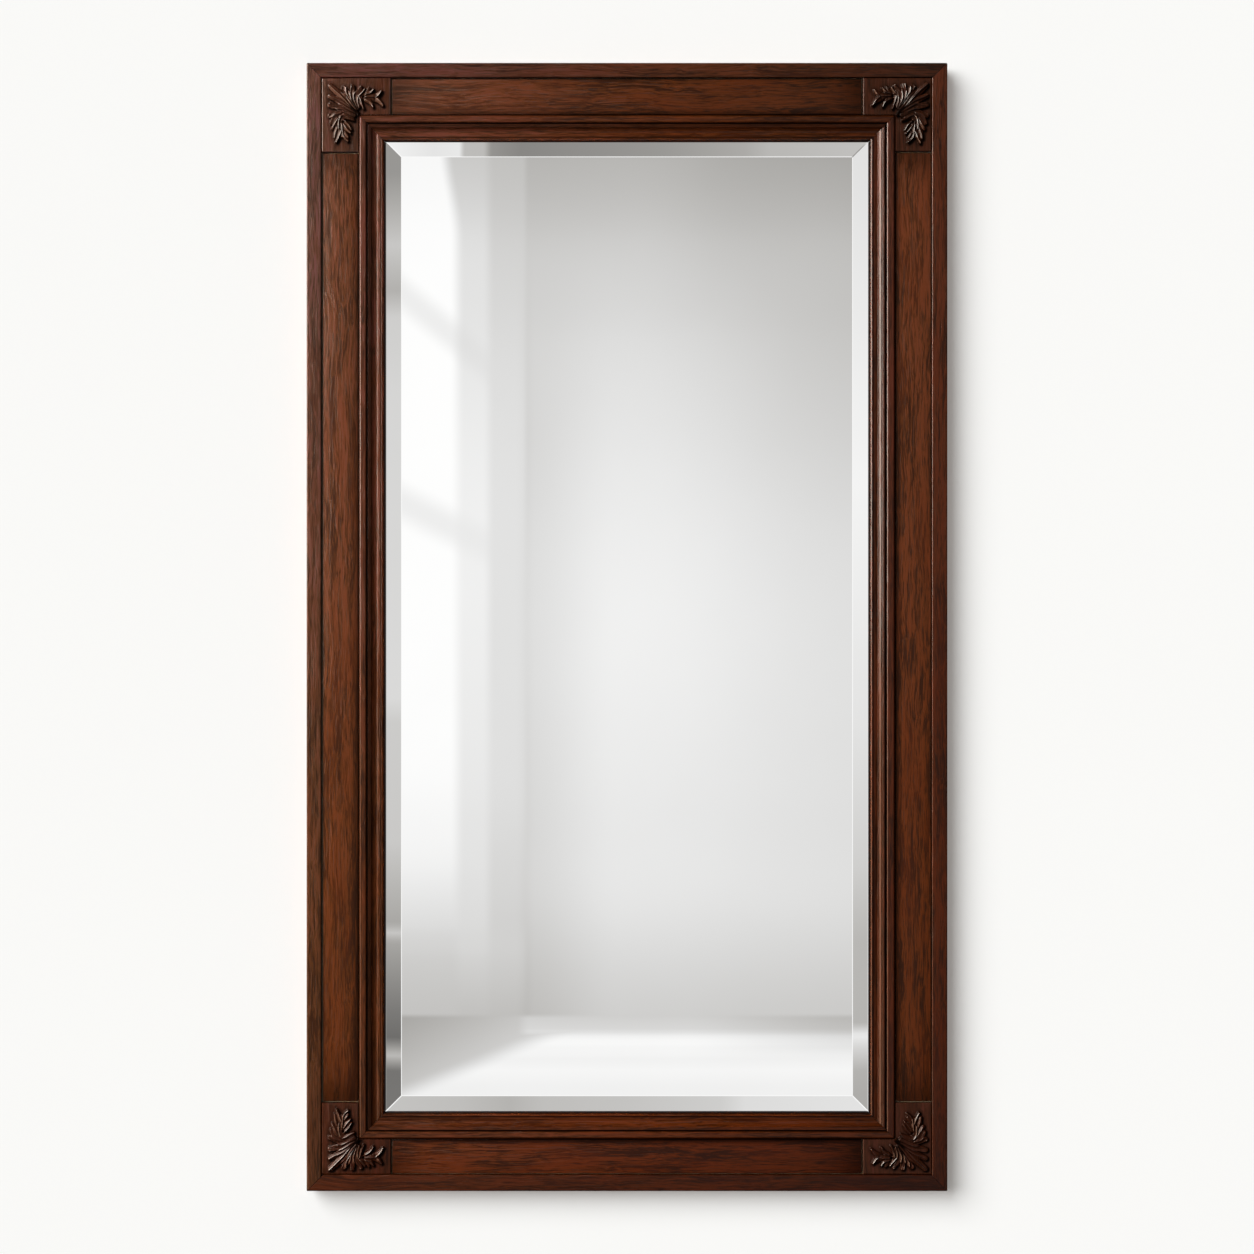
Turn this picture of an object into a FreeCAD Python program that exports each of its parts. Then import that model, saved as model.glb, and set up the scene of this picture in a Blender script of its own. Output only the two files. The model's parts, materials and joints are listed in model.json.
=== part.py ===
import FreeCAD
import Part

import math
import os

from FreeCAD import Vector

# Rectangular wall mirror: a bevelled plate in a wide wooden frame, with applied mouldings,
# L-shaped corner blocks and carved acanthus leaves. Millimetres, +Z up, front towards -Y.
# The origin is the middle of the back, on the wall plane y = 0.
#
# Two distances place everything on the frame:
#   d runs outward from the edge of the visible glass, in the plane of the frame;
#   t runs forward from the wall, so y = -t.

# Visible glass
sight_width = 600.0
sight_height = 1204.0

# Widths of the frame's face, from the glass outward
inner_width = 32.5
frieze_width = 46.5
outer_width = 18.0

# Thicknesses, from the wall forward
bumper_height = 6.5
rear_layer = 11.5
front_layer = 6.5
frieze_thickness = 6.0
block_thickness = 8.5
outer_rise = 9.5

# Double rebate of the base frame
glass_rebate = 9.0
panel_rebate = 20.0

# Mortise and tenon joints of the base frame
tenon_thickness = 6.5
tenon_setback = 2.5
tenon_inset = 5.0
tenon_outer_margin = 9.0
tenon_length = 36.0
joint_clearance = 0.1
mortise_extra = 1.0

# Mirror plate and what beds it
plate_thickness = 5.0
plate_clearance = 3.0
bevel_width = 26.0
bevel_depth = 2.2
foam_thickness = 3.0
setting_block_length = 40.0
setting_block_depth = 5.0
setting_block_inset = 150.0
shim_inset = 200.0

# Back panel and the flat steel points that hold it in its rebate
panel_thickness = 4.0
panel_clearance = 1.0
point_width = 10.0
point_sheet = 0.8
point_grip = 7.0
point_showing = 7.0
long_side_point_count = 6
short_side_point_count = 3

# Inner moulding: widths and heights of its section, outward from the glass
lip_height = 3.6
lip_width = 5.4
lip_crest = 7.4
lip_bulge = 0.7
quirk_width = 0.5
quirk_height = 6.4
hollow_width = 6.6
hollow_height = 4.6
hollow_sag = 0.45
rise_width = 4.6
rise_height = 9.6
rise_sag = 0.8
shoulder_width = 4.0
shoulder_height = 10.6
shoulder_crown = 0.7
groove_width = 2.2
groove_height = 6.8
groove_draft = 0.4
fillet_height = 10.0
arris_radius = 1.0

# Outer moulding
outer_arris_radius = 1.6

# Corner blocks, measured from their outer corner
block_width = 86.0
block_height = 92.0
block_arris = 0.8

# Carved leaf on each corner block
leaf_relief = 5.5
leaf_margin = 8.0
leaf_lobe_width = 11.0

# Fastenings of the outer mitres
v_nail_leg = 5.0
v_nail_sheet = 0.8
v_nail_height = 10.0
v_nail_shares = (0.34, 0.70)

# Bumpers
bumper_radius = 10.0
bumper_inset = 26.0

# Strap hangers with their D rings
strap_width = 16.0
strap_length = 50.0
strap_thickness = 1.2
strap_drop = 300.0
ring_wire = 3.0
ring_wire_flats = 10
ring_clearance = 0.3
ring_half_width = 12.0
ring_leg = 5.0
ring_corner_radius = 3.5
ring_butt_gap = 0.4
roll_gap = 0.5
hanger_screw_shank = 3.5
hanger_screw_head = 7.0
hanger_screw_head_height = 2.4
hanger_screw_length = 12.0
hanger_screw_start = 26.0
hanger_screw_pitch = 15.0
hanger_screw_count = 2

# How far a cutting tool passes the face that it opens
overrun = 2.0

# Places worked out from the sizes above
half_width = sight_width / 2
half_height = sight_height / 2
d_frieze = inner_width
d_outer = inner_width + frieze_width
d_edge = d_outer + outer_width
t_back = bumper_height
t_ledge = t_back + rear_layer
t_base = t_ledge + front_layer
t_frieze = t_base + frieze_thickness
t_block = t_base + block_thickness
t_outer = t_base + outer_rise
corner_x = half_width + d_outer
corner_z = half_height + d_outer
hanger_x = half_width + (panel_rebate + d_outer) / 2
hanger_z = half_height + d_edge - strap_drop
knuckle_inner = ring_wire / 2 + ring_clearance
knuckle_outer = knuckle_inner + strap_thickness
t_hinge = t_back - knuckle_outer

# Each side of the frame: half its distance across, half its length, and its turn about Y
# from the right-hand side
SIDES = {
    "right": (half_width, half_height, 0),
    "left": (half_width, half_height, 180),
    "top": (half_height, half_width, -90),
    "bottom": (half_height, half_width, 90),
}

CORNERS = {
    "top_right": (1, 1),
    "top_left": (-1, 1),
    "bottom_right": (1, -1),
    "bottom_left": (-1, -1),
}

parts = {}


def slab(x_range, t_range, z_range):
    """A box between pairs of x, t and z."""
    size = [high - low for low, high in (x_range, t_range, z_range)]
    return Part.makeBox(*size, Vector(x_range[0], -t_range[1], z_range[0]))


def rod(radius, x, t_range, z):
    """A round bar that points forward from the wall."""
    low, high = t_range
    return Part.makeCylinder(radius, high - low, Vector(x, -low, z), Vector(0, -1, 0))


def plane_face(points):
    """A flat face through points."""
    return Part.Face(Part.makePolygon(points + points[:1]))


def turned(shape, angle):
    """A copy turned about the Y axis."""
    copy = shape.copy()
    copy.rotate(Vector(0, 0, 0), Vector(0, 1, 0), angle)
    return copy


def mirrored(shape, x_sign, z_sign):
    """A copy of a top right piece for another corner."""
    copy = shape.copy()
    if x_sign < 0:
        copy = copy.mirror(Vector(0, 0, 0), Vector(1, 0, 0))
    if z_sign < 0:
        copy = copy.mirror(Vector(0, 0, 0), Vector(0, 0, 1))
    return copy


def bowed(start, end, sag):
    """An arc between two (d, t) points that stands off its chord by sag, to the left if positive."""
    run = Vector(end[0] - start[0], end[1] - start[1], 0)
    normal = Vector(-run.y, run.x, 0).normalize()
    middle = Vector((start[0] + end[0]) / 2, (start[1] + end[1]) / 2, 0) + normal * sag
    return (middle.x, middle.y)


def section_face(across, steps):
    """A section on the right-hand side, from (d, t) steps; a step with a sag is an arc."""
    edges = []
    count = len(steps)
    for index in range(count):
        here, sag = steps[index]
        there = steps[(index + 1) % count][0]
        points = [here, there]
        if sag:
            points.insert(1, bowed(here, there, sag))
        places = [Vector(across + d, -t, 0) for d, t in points]
        if sag:
            edges.append(Part.Arc(*places).toShape())
        else:
            edges.append(Part.LineSegment(*places).toShape())
    return Part.Face(Part.Wire(edges))


def mitred_rail(across, along, steps):
    """A moulding for the right-hand side whose ends meet their neighbours at 45 degrees."""
    face = section_face(across, steps)
    reach = [step[0][0] for step in steps]
    low, high = min(reach), max(reach)
    depth = [step[0][1] for step in steps]
    half = along + high + overrun
    face.translate(Vector(0, 0, -half))
    bar = face.extrude(Vector(0, 0, 2 * half))
    inner, outer = low - overrun, high + overrun
    front = -(max(depth) + overrun)
    trapezoid = plane_face([
        Vector(across + inner, front, -(along + inner)),
        Vector(across + outer, front, -(along + outer)),
        Vector(across + outer, front, along + outer),
        Vector(across + inner, front, along + inner),
    ])
    tool = trapezoid.extrude(Vector(0, max(depth) + 2 * overrun, 0))
    return bar.common(tool)


def inner_section():
    """The inner moulding: lip, hollow, rounded shoulder, groove and flat fillet."""
    d_lip = lip_width
    d_hollow = d_lip + quirk_width + hollow_width
    d_rise = d_hollow + rise_width
    d_shoulder = d_rise + shoulder_width
    d_groove = d_shoulder + groove_width
    corner = arris_radius * (1 - math.cos(math.pi / 4))
    quarter_sag = arris_radius * (1 - math.sqrt(2) / 2)
    heights = [
        (0, 0, 0),
        (0, lip_height, lip_bulge),
        (d_lip, lip_crest, 0),
        (d_lip + quirk_width, quirk_height, -hollow_sag),
        (d_hollow, hollow_height, -rise_sag),
        (d_rise, rise_height, shoulder_crown),
        (d_shoulder, shoulder_height, 0),
        (d_shoulder + groove_draft, groove_height, 0),
        (d_groove, groove_height, 0),
        (d_groove + groove_draft, fillet_height, 0),
        (inner_width - arris_radius, fillet_height, quarter_sag),
        (inner_width, fillet_height - arris_radius, 0),
        (inner_width, 0, 0),
    ]
    return [((d, t_base + height), sag) for d, height, sag in heights]


def outer_section():
    """The outer moulding: a plain bar with rounded front arrises."""
    sag = outer_arris_radius * (1 - math.sqrt(2) / 2)
    return [
        ((d_outer, t_back), 0),
        ((d_outer, t_outer - outer_arris_radius), sag),
        ((d_outer + outer_arris_radius, t_outer), 0),
        ((d_edge - outer_arris_radius, t_outer), sag),
        ((d_edge, t_outer - outer_arris_radius), 0),
        ((d_edge, t_back), 0),
    ]


def v_nails_at_corner():
    """Two folded steel nails driven from behind across the top right mitre."""
    nails = []
    for share in v_nail_shares:
        d = d_outer + outer_width * share
        middle = Vector(half_width + d, -t_back, half_height + d)
        legs = []
        for direction in (Vector(1, 0, 0), Vector(0, 0, 1)):
            length = Vector(*direction) * v_nail_leg
            side = Vector(direction.z, 0, direction.x) * v_nail_sheet
            leg = plane_face([middle, middle + length, middle + length + side, middle + side])
            legs.append(leg.extrude(Vector(0, -v_nail_height, 0)))
        nails.append(legs[0].fuse(legs[1]).removeSplitter())
    return nails


def build_mouldings():
    """The inner and outer mouldings, four mitred lengths of each."""
    nails = []
    for x_sign, z_sign in CORNERS.values():
        nails += [mirrored(nail, x_sign, z_sign) for nail in v_nails_at_corner()]
    slots = Part.makeCompound(nails)
    for side, (across, along, angle) in SIDES.items():
        inner = mitred_rail(across, along, inner_section())
        parts["inner_moulding_" + side] = turned(inner, angle)
        outer = mitred_rail(across, along, outer_section())
        parts["outer_moulding_" + side] = turned(outer, angle).cut(slots)
    parts["mitre_v_nails"] = slots


def screw(radius, head_radius, head_height, x, z, t_seat, length):
    """A pan head screw driven forward into the frame, its head standing back from t_seat."""
    head = rod(head_radius, x, (t_seat - head_height, t_seat), z)
    shank = rod(radius, x, (t_seat, t_seat + length), z)
    return head.fuse(shank)


def panel_points():
    """Flat points driven sideways into the rebate wall, lying on the back of the panel."""
    points = []
    for side, count in (("right", long_side_point_count), ("top", short_side_point_count)):
        across, along, angle = SIDES[side]
        wall = across + panel_rebate
        t_seat = t_ledge - panel_thickness
        for index in range(count):
            middle = along * (2 * (index + 1) / (count + 1) - 1)
            point = slab(
                (wall - point_showing, wall + point_grip),
                (t_seat - point_sheet, t_seat),
                (middle - point_width / 2, middle + point_width / 2),
            )
            points += [turned(point, angle), turned(point, angle + 180)]
    return points


def hanger_screw_places():
    """Where the strap hangers are screwed to the stiles."""
    levels = [hanger_z - hanger_screw_start - n * hanger_screw_pitch for n in range(hanger_screw_count)]
    return [(x, z) for x in (hanger_x, -hanger_x) for z in levels]


def screw_holes(places, radius, t_range):
    """Round holes through a piece that screws enter from behind."""
    return Part.makeCompound([rod(radius, x, t_range, z) for x, z in places])


def build_base():
    """Two stiles and two rails, double rebated and joined by mortise and tenon."""
    d_tenon_low = panel_rebate + tenon_inset
    d_tenon_high = d_outer - tenon_outer_margin
    t_tenon = t_back + tenon_setback
    x_shoulder = half_width + panel_rebate
    x_tenon = x_shoulder + tenon_length
    z_low = half_height + d_tenon_low
    z_high = half_height + d_tenon_high

    pilots = screw_holes(
        hanger_screw_places(),
        hanger_screw_shank / 2,
        (t_back - overrun, t_back - strap_thickness + hanger_screw_length),
    )
    bites = panel_points()

    front = slab((half_width + glass_rebate, corner_x), (t_ledge, t_base), (-corner_z, corner_z))
    rear = slab((x_shoulder, corner_x), (t_back, t_ledge), (-corner_z, corner_z))
    mortise = slab(
        (x_shoulder - overrun, x_tenon + mortise_extra),
        (t_tenon - joint_clearance, t_tenon + tenon_thickness + joint_clearance),
        (z_low - joint_clearance, z_high + joint_clearance),
    )
    stile = front.fuse(rear).removeSplitter()
    stile = stile.cut([mortise, mirrored(mortise, 1, -1)])
    parts["base_stile_right"] = stile.cut([pilots] + bites)
    parts["base_stile_left"] = turned(stile, 180).cut([pilots] + bites)

    x_front = half_width + glass_rebate
    front = slab((-x_front, x_front), (t_ledge, t_base), (half_height + glass_rebate, corner_z))
    rear = slab((-x_shoulder, x_shoulder), (t_back, t_ledge), (half_height + panel_rebate, corner_z))
    tenons = slab((-x_tenon, x_tenon), (t_tenon, t_tenon + tenon_thickness), (z_low, z_high))
    rail = front.fuse([rear, tenons]).removeSplitter()
    parts["base_rail_top"] = rail.cut(bites)
    parts["base_rail_bottom"] = turned(rail, 180).cut(bites)


def build_frieze():
    """Flat boards between the corner blocks."""
    x_end = corner_x - block_width
    z_end = corner_z - block_height
    x_board = (half_width + d_frieze, corner_x)
    z_board = (half_height + d_frieze, corner_z)
    side = slab(x_board, (t_base, t_frieze), (-z_end, z_end))
    top = slab((-x_end, x_end), (t_base, t_frieze), z_board)
    parts["frieze_right"] = side
    parts["frieze_left"] = turned(side, 180)
    parts["frieze_top"] = top
    parts["frieze_bottom"] = turned(top, 180)


def corner_block():
    """The top right L-shaped block, its front arrises eased."""
    outline = [
        (0, 0),
        (block_width, 0),
        (block_width, frieze_width),
        (frieze_width, frieze_width),
        (frieze_width, block_height),
        (0, block_height),
    ]
    face = plane_face([Vector(corner_x - u, -t_base, corner_z - v) for u, v in outline])
    block = face.extrude(Vector(0, -block_thickness, 0))
    front_edges = [edge for edge in block.Edges if edge.BoundBox.YMax < -(t_base + block_thickness / 2)]
    return block.makeChamfer(block_arris, front_edges)


# A lobe of the leaf runs along a curve from its foot to its tip. At each station it has a
# share of its full width and of its full height.
station_shares = (0.0, 0.45, 0.8, 1.0)
lobe_width_shares = (0.35, 0.8, 1.0, 0.3)
lobe_height_shares = (0.65, 1.0, 0.85, 0.35)

# Foot of the fan, and the tips along the outer edge of the fan, as shares of the frieze's
# width; the pull bends a lobe towards the block's outer corner.
fan_foot_share = 0.95
fan_tip_shares = ((0.18, 0.0), (0.42, 0.10), (0.68, 0.17), (0.95, 0.24))
# Lobes of each arm: foot, bend and tip. The first number of a pair is a share of the arm's
# length past the fan, the second a share of the frieze's width from the outer edge.
arm_lobe_shares = (
    ((-0.20, 0.80), (0.12, 0.50), (0.84, 0.46)),
    ((-0.05, 0.62), (0.10, 0.42), (0.36, 0.27)),
    ((0.30, 0.50), (0.45, 0.36), (0.74, 0.25)),
    ((-0.05, 0.70), (0.18, 0.70), (0.42, 0.80)),
    ((0.28, 0.52), (0.50, 0.66), (0.76, 0.79)),
)
arm_lobe_width_share = 0.85
arm_lobe_height_share = 0.85


def lobe(points, width, height):
    """A ridge with chiselled flanks along the curve through foot, bend and tip, given as (u, v)."""
    foot, bend, tip = [Vector(u, v, 0) for u, v in points]
    left, right, crest = [], [], []
    for index, share in enumerate(station_shares):
        rest = 1 - share
        place = foot * (rest * rest) + bend * (2 * rest * share) + tip * (share * share)
        heading = ((bend - foot) * rest + (tip - bend) * share).normalize()
        half = Vector(-heading.y, heading.x, 0) * (width * lobe_width_shares[index] / 2)
        left.append(place + half)
        right.append(place - half)
        crest.append(place + Vector(0, 0, height * lobe_height_shares[index]))
    faces = [plane_face(left + right[::-1])]
    faces.append(plane_face([left[0], right[0], crest[0]]))
    faces.append(plane_face([left[-1], crest[-1], right[-1]]))
    for index in range(len(crest) - 1):
        after = index + 1
        for side in (left, right):
            faces.append(plane_face([side[index], crest[index], crest[after]]))
            faces.append(plane_face([side[index], crest[after], side[after]]))
    solid = Part.makeSolid(Part.makeShell(faces))
    return solid if solid.Volume > 0 else solid.reversed()


def leaf():
    """The top right acanthus leaf, a fan of lobes at the corner with a lobed arm each way."""
    foot = (fan_foot_share * frieze_width, fan_foot_share * frieze_width)
    lobes = []
    for swapped in (False, True):
        arm_length = (block_height if swapped else block_width) - frieze_width

        def placed(points):
            if swapped:
                return [(v, u) for u, v in points]
            return points

        for along, pull in fan_tip_shares:
            if swapped and pull == 0:
                continue
            tip = (along * frieze_width, leaf_margin)
            bend = ((foot[0] + tip[0]) / 2 - pull * frieze_width, (foot[1] + tip[1]) / 2)
            lobes.append(lobe(placed([foot, bend, tip]), leaf_lobe_width, leaf_relief))
        for shares in arm_lobe_shares:
            points = [(frieze_width + a * arm_length, b * frieze_width) for a, b in shares]
            width = leaf_lobe_width * arm_lobe_width_share
            lobes.append(lobe(placed(points), width, leaf_relief * arm_lobe_height_share))
    shape = lobes[0].multiFuse(lobes[1:]).removeSplitter()
    shape.rotate(Vector(0, 0, 0), Vector(1, 0, 0), 90)
    shape = shape.mirror(Vector(0, 0, 0), Vector(1, 0, 0))
    shape = shape.mirror(Vector(0, 0, 0), Vector(0, 0, 1))
    shape.translate(Vector(corner_x, -t_block, corner_z))
    return shape.Solids[0] if len(shape.Solids) == 1 else shape


def build_corners():
    """A block, a leaf and a rubber bumper at each corner."""
    block = corner_block()
    carved = leaf()
    bumper = rod(bumper_radius, corner_x - bumper_inset, (0, t_back), corner_z - bumper_inset)
    for corner, signs in CORNERS.items():
        parts["corner_block_" + corner] = mirrored(block, *signs)
        parts["corner_leaf_" + corner] = mirrored(carved, *signs)
        parts["bumper_" + corner] = mirrored(bumper, *signs)


def build_glazing():
    """The bevelled plate with the foam, blocks and shims that bed it."""
    x = half_width + glass_rebate - plate_clearance
    z = half_height + glass_rebate - plate_clearance
    t_plate = t_ledge + foam_thickness
    t_arris = t_plate + plate_thickness - bevel_depth
    t_face = t_plate + plate_thickness
    rings = []
    for inset, t in ((0, t_arris), (bevel_width, t_face)):
        corners = [
            Vector(x - inset, -t, z - inset),
            Vector(x - inset, -t, inset - z),
            Vector(inset - x, -t, inset - z),
            Vector(inset - x, -t, z - inset),
        ]
        rings.append(Part.makePolygon(corners + corners[:1]))
    bevelled = Part.makeLoft(rings, True, True)
    sheet = slab((-x, x), (t_plate, t_arris), (-z, z))
    parts["mirror_plate"] = sheet.fuse(bevelled).removeSplitter()
    parts["foam_sheet"] = slab((-x, x), (t_ledge, t_plate), (-z, z))

    depth = (t_ledge, t_ledge + setting_block_depth)
    half = setting_block_length / 2
    blocks = []
    for sign in (-1, 1):
        middle = sign * (half_width - setting_block_inset)
        blocks.append(slab((middle - half, middle + half), depth, (-z - plate_clearance, -z)))
    parts["setting_blocks"] = Part.makeCompound(blocks)
    shims = []
    for level in (shim_inset - half_height, half_height - shim_inset):
        right = slab((x, x + plate_clearance), depth, (level - half, level + half))
        shims += [right, mirrored(right, -1, 1)]
    parts["edge_shims"] = Part.makeCompound(shims)


def build_back():
    """The back panel, sunk in its rebate against the ledge, and the points behind it."""
    x = half_width + panel_rebate - panel_clearance
    z = half_height + panel_rebate - panel_clearance
    parts["back_panel"] = slab((-x, x), (t_ledge - panel_thickness, t_ledge), (-z, z))
    parts["panel_points"] = Part.makeCompound(panel_points())


def strap():
    """The right hanger strap: a round-ended leaf with its top rolled into a knuckle."""
    t_leaf = t_back - strap_thickness
    half = strap_width / 2
    z_end = hanger_z - strap_length + half
    leaf_plate = slab((hanger_x - half, hanger_x + half), (t_leaf, t_back), (z_end, hanger_z))
    tongue = rod(half, hanger_x, (t_leaf, t_back), z_end)
    along = Vector(1, 0, 0)
    start = Vector(hanger_x - half, -t_hinge, hanger_z)
    roll = Part.makeCylinder(knuckle_outer, strap_width, start, along)
    bore = Part.makeCylinder(knuckle_inner, strap_width + 2 * overrun, start - along * overrun, along)
    slit = slab(
        (hanger_x - half - overrun, hanger_x + half + overrun),
        (t_leaf - roll_gap, t_leaf),
        (hanger_z - knuckle_outer - overrun, hanger_z),
    )
    body = leaf_plate.fuse([tongue, roll]).cut([bore, slit])
    hole_radius = hanger_screw_shank / 2 + joint_clearance
    holes = screw_holes(hanger_screw_places(), hole_radius, (t_leaf - overrun, t_back + overrun))
    return body.cut(holes).removeSplitter()


def ring():
    """The right D ring, hanging down from the knuckle; its wire ends meet inside the roll."""
    side = ring_half_width
    bend = ring_corner_radius
    gap = ring_butt_gap / 2
    forward = Vector(0, -1, 0)

    def wire(x, z, across):
        place = Vector(hanger_x + x, -t_hinge, hanger_z + z)
        rim = []
        for flat in range(ring_wire_flats):
            angle = 2 * math.pi * flat / ring_wire_flats
            spoke = across * math.cos(angle) + forward * math.sin(angle)
            rim.append(place + spoke * (ring_wire / 2))
        return plane_face(rim)

    half_bar = wire(gap, 0, Vector(0, 0, 1)).extrude(Vector(side - bend - gap, 0, 0))
    pivot = Vector(hanger_x + side - bend, -t_hinge, hanger_z - bend)
    corner = wire(side - bend, 0, Vector(0, 0, 1)).revolve(pivot, Vector(0, 1, 0), 90)
    leg = wire(side, -bend, Vector(1, 0, 0)).extrude(Vector(0, 0, bend - ring_leg))
    middle = Vector(hanger_x, -t_hinge, hanger_z - ring_leg)
    bow = wire(side, -ring_leg, Vector(1, 0, 0)).revolve(middle, forward, -180)
    half = [half_bar, corner, leg]
    other = [piece.mirror(Vector(hanger_x, 0, 0), Vector(1, 0, 0)) for piece in half]
    return bow.fuse(half + other).removeSplitter()


def build_hangers():
    """A strap and a ring on each stile, with their screws."""
    parts["hanger_strap_right"] = strap()
    parts["hanger_strap_left"] = mirrored(strap(), -1, 1)
    parts["hanger_ring_right"] = ring()
    parts["hanger_ring_left"] = mirrored(ring(), -1, 1)
    t_seat = t_back - strap_thickness
    parts["hanger_screws"] = Part.makeCompound([
        screw(
            hanger_screw_shank / 2,
            hanger_screw_head / 2,
            hanger_screw_head_height,
            x,
            z,
            t_seat,
            hanger_screw_length,
        )
        for x, z in hanger_screw_places()
    ])


build_base()
build_frieze()
build_mouldings()
build_corners()
build_glazing()
build_back()
build_hangers()

os.makedirs("parts", exist_ok=True)
for name, shape in parts.items():
    shape.exportStep("parts/" + name + ".step")
    solids = shape.Solids
    closed = all(solid.isClosed() and solid.isValid() for solid in solids)
    print(name, len(solids), "solid(s), closed", closed, "volume %.0f" % shape.Volume)
print(len(parts), "nodes")
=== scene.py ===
# %% [markdown]
# # A wall mirror with carved corner leaves
# The real object is a tall rectangular mirror in a dark stained hardwood frame. A plain outer
# bar runs round a flat frieze, L-shaped blocks with carved acanthus leaves sit at the corners,
# and a moulded inner length with a hollow and a rounded shoulder holds a bevelled plate.
# Behind it are a jointed base frame, a hardboard panel held by steel points, two strap hangers
# with D rings, and rubber bumpers.
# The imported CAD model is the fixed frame: each piece below goes where its node is.

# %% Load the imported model
import json
import math

import bmesh
import bpy
import numpy as np
from mathutils import Matrix, Vector


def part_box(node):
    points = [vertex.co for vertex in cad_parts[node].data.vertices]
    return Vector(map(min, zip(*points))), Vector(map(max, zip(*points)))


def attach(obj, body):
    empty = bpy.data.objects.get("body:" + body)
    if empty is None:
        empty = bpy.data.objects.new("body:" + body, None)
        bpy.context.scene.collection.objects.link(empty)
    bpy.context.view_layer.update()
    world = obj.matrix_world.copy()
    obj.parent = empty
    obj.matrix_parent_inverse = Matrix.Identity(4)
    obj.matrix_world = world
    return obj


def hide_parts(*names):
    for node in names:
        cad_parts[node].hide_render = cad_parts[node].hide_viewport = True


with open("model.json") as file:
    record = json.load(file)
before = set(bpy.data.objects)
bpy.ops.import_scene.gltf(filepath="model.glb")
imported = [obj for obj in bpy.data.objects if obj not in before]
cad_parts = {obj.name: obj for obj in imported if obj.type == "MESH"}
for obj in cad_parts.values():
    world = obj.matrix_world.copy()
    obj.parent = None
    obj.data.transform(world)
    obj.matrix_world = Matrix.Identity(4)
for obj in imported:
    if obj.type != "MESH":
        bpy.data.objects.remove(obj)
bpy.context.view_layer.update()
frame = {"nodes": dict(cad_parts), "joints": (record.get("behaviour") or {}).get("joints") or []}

MM = 0.001

# %% [markdown]
# ## The measures that the pieces share
# A moulding could be placed by typed numbers, but then a change in the CAD would leave it
# behind. The sight size, the faces and the lines where boards meet are read from the boxes of
# the nodes.

# %% Read the places from the nodes
inner_low, inner_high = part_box("inner_moulding_right")
outer_low, outer_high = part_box("outer_moulding_right")
frieze_low, frieze_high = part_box("frieze_right")
block_low, block_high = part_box("corner_block_top_right")
leaf_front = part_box("corner_leaf_top_right")[0].y
plate_low, plate_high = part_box("mirror_plate")
top_frieze_low, top_frieze_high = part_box("frieze_top")

sight_x = inner_low.x
sight_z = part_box("inner_moulding_top")[0].z
base_y = inner_high.y
outer_y = outer_low.y
outer_start = outer_low.x - sight_x
outer_end = outer_high.x - sight_x
print(f"glass in view {2 * sight_x / MM:.0f} x {2 * sight_z / MM:.0f} mm, face {outer_end / MM:.0f} mm wide")

# %% [markdown]
# ## Camera and room
# The photo is a straight front view. A long lens at about 3.7 m keeps the sides of the frame
# out of sight, as they are there. The width of the picture fixes the distance: the front face
# of the frame covers 807.2 pixels per metre of the 1254 pixel picture.

# %% Place the camera
scene = bpy.context.scene
scene.view_settings.view_transform = "Standard"


def linked(name, data):
    """A new object in the scene."""
    piece = bpy.data.objects.new(name, data)
    scene.collection.objects.link(piece)
    return piece


lens_mm = 85
sensor_mm = 36
picture_pixels = 1254
pixels_per_metre = 807.2
camera_gap = lens_mm / sensor_mm * picture_pixels / pixels_per_metre

camera_data = bpy.data.cameras.new("camera")
camera_data.lens = lens_mm
camera_data.sensor_width = sensor_mm
camera_data.clip_start = 0.05
camera = linked("camera", camera_data)
camera.location = (0, outer_y - camera_gap, 0)
camera.rotation_euler = (math.pi / 2, 0, 0)
scene.camera = camera
print(f"camera {camera_gap:.3f} m in front of the frame")

# %% [markdown]
# ## Shader sums as plain expressions
# A finish is a small graph of nodes. Written node by node it is long, so a thin wrapper lets a
# socket take part in a Python sum: `1 - mask * 0.5` adds the Math nodes by itself. Every other
# node comes from one method that takes its type, its settings and its sockets.

# %% A socket that can be added and multiplied
class Wire:
    """One socket of a recipe, which takes part in sums."""

    def __init__(self, recipe, socket):
        self.recipe = recipe
        self.socket = socket

    def sum(self, operation, first, second):
        return self.recipe.node("ShaderNodeMath", {"operation": operation}, {0: first, 1: second})

    def __add__(self, other):
        return self.sum("ADD", self, other)

    def __radd__(self, other):
        return self.sum("ADD", other, self)

    def __sub__(self, other):
        return self.sum("SUBTRACT", self, other)

    def __rsub__(self, other):
        return self.sum("SUBTRACT", other, self)

    def __mul__(self, other):
        return self.sum("MULTIPLY", self, other)

    def __rmul__(self, other):
        return self.sum("MULTIPLY", other, self)

    def __truediv__(self, other):
        return self.sum("DIVIDE", self, other)

    def __pow__(self, other):
        return self.sum("POWER", self, other)

    def size(self):
        return self.sum("ABSOLUTE", self, 0)

    def most(self, other):
        return self.sum("MAXIMUM", self, other)

    def least(self, other):
        return self.sum("MINIMUM", self, other)

    def rise(self, start, end):
        """0 before start, 1 after end, with a soft change between."""
        settings = {"interpolation_type": "SMOOTHSTEP"}
        sockets = {"Value": self, "From Min": start, "From Max": end}
        return self.recipe.node("ShaderNodeMapRange", settings, sockets)

    def band(self, low, high, soft):
        """1 between low and high, 0 outside, with soft edges."""
        return self.rise(low - soft, low + soft) * (1 - self.rise(high - soft, high + soft))


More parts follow.
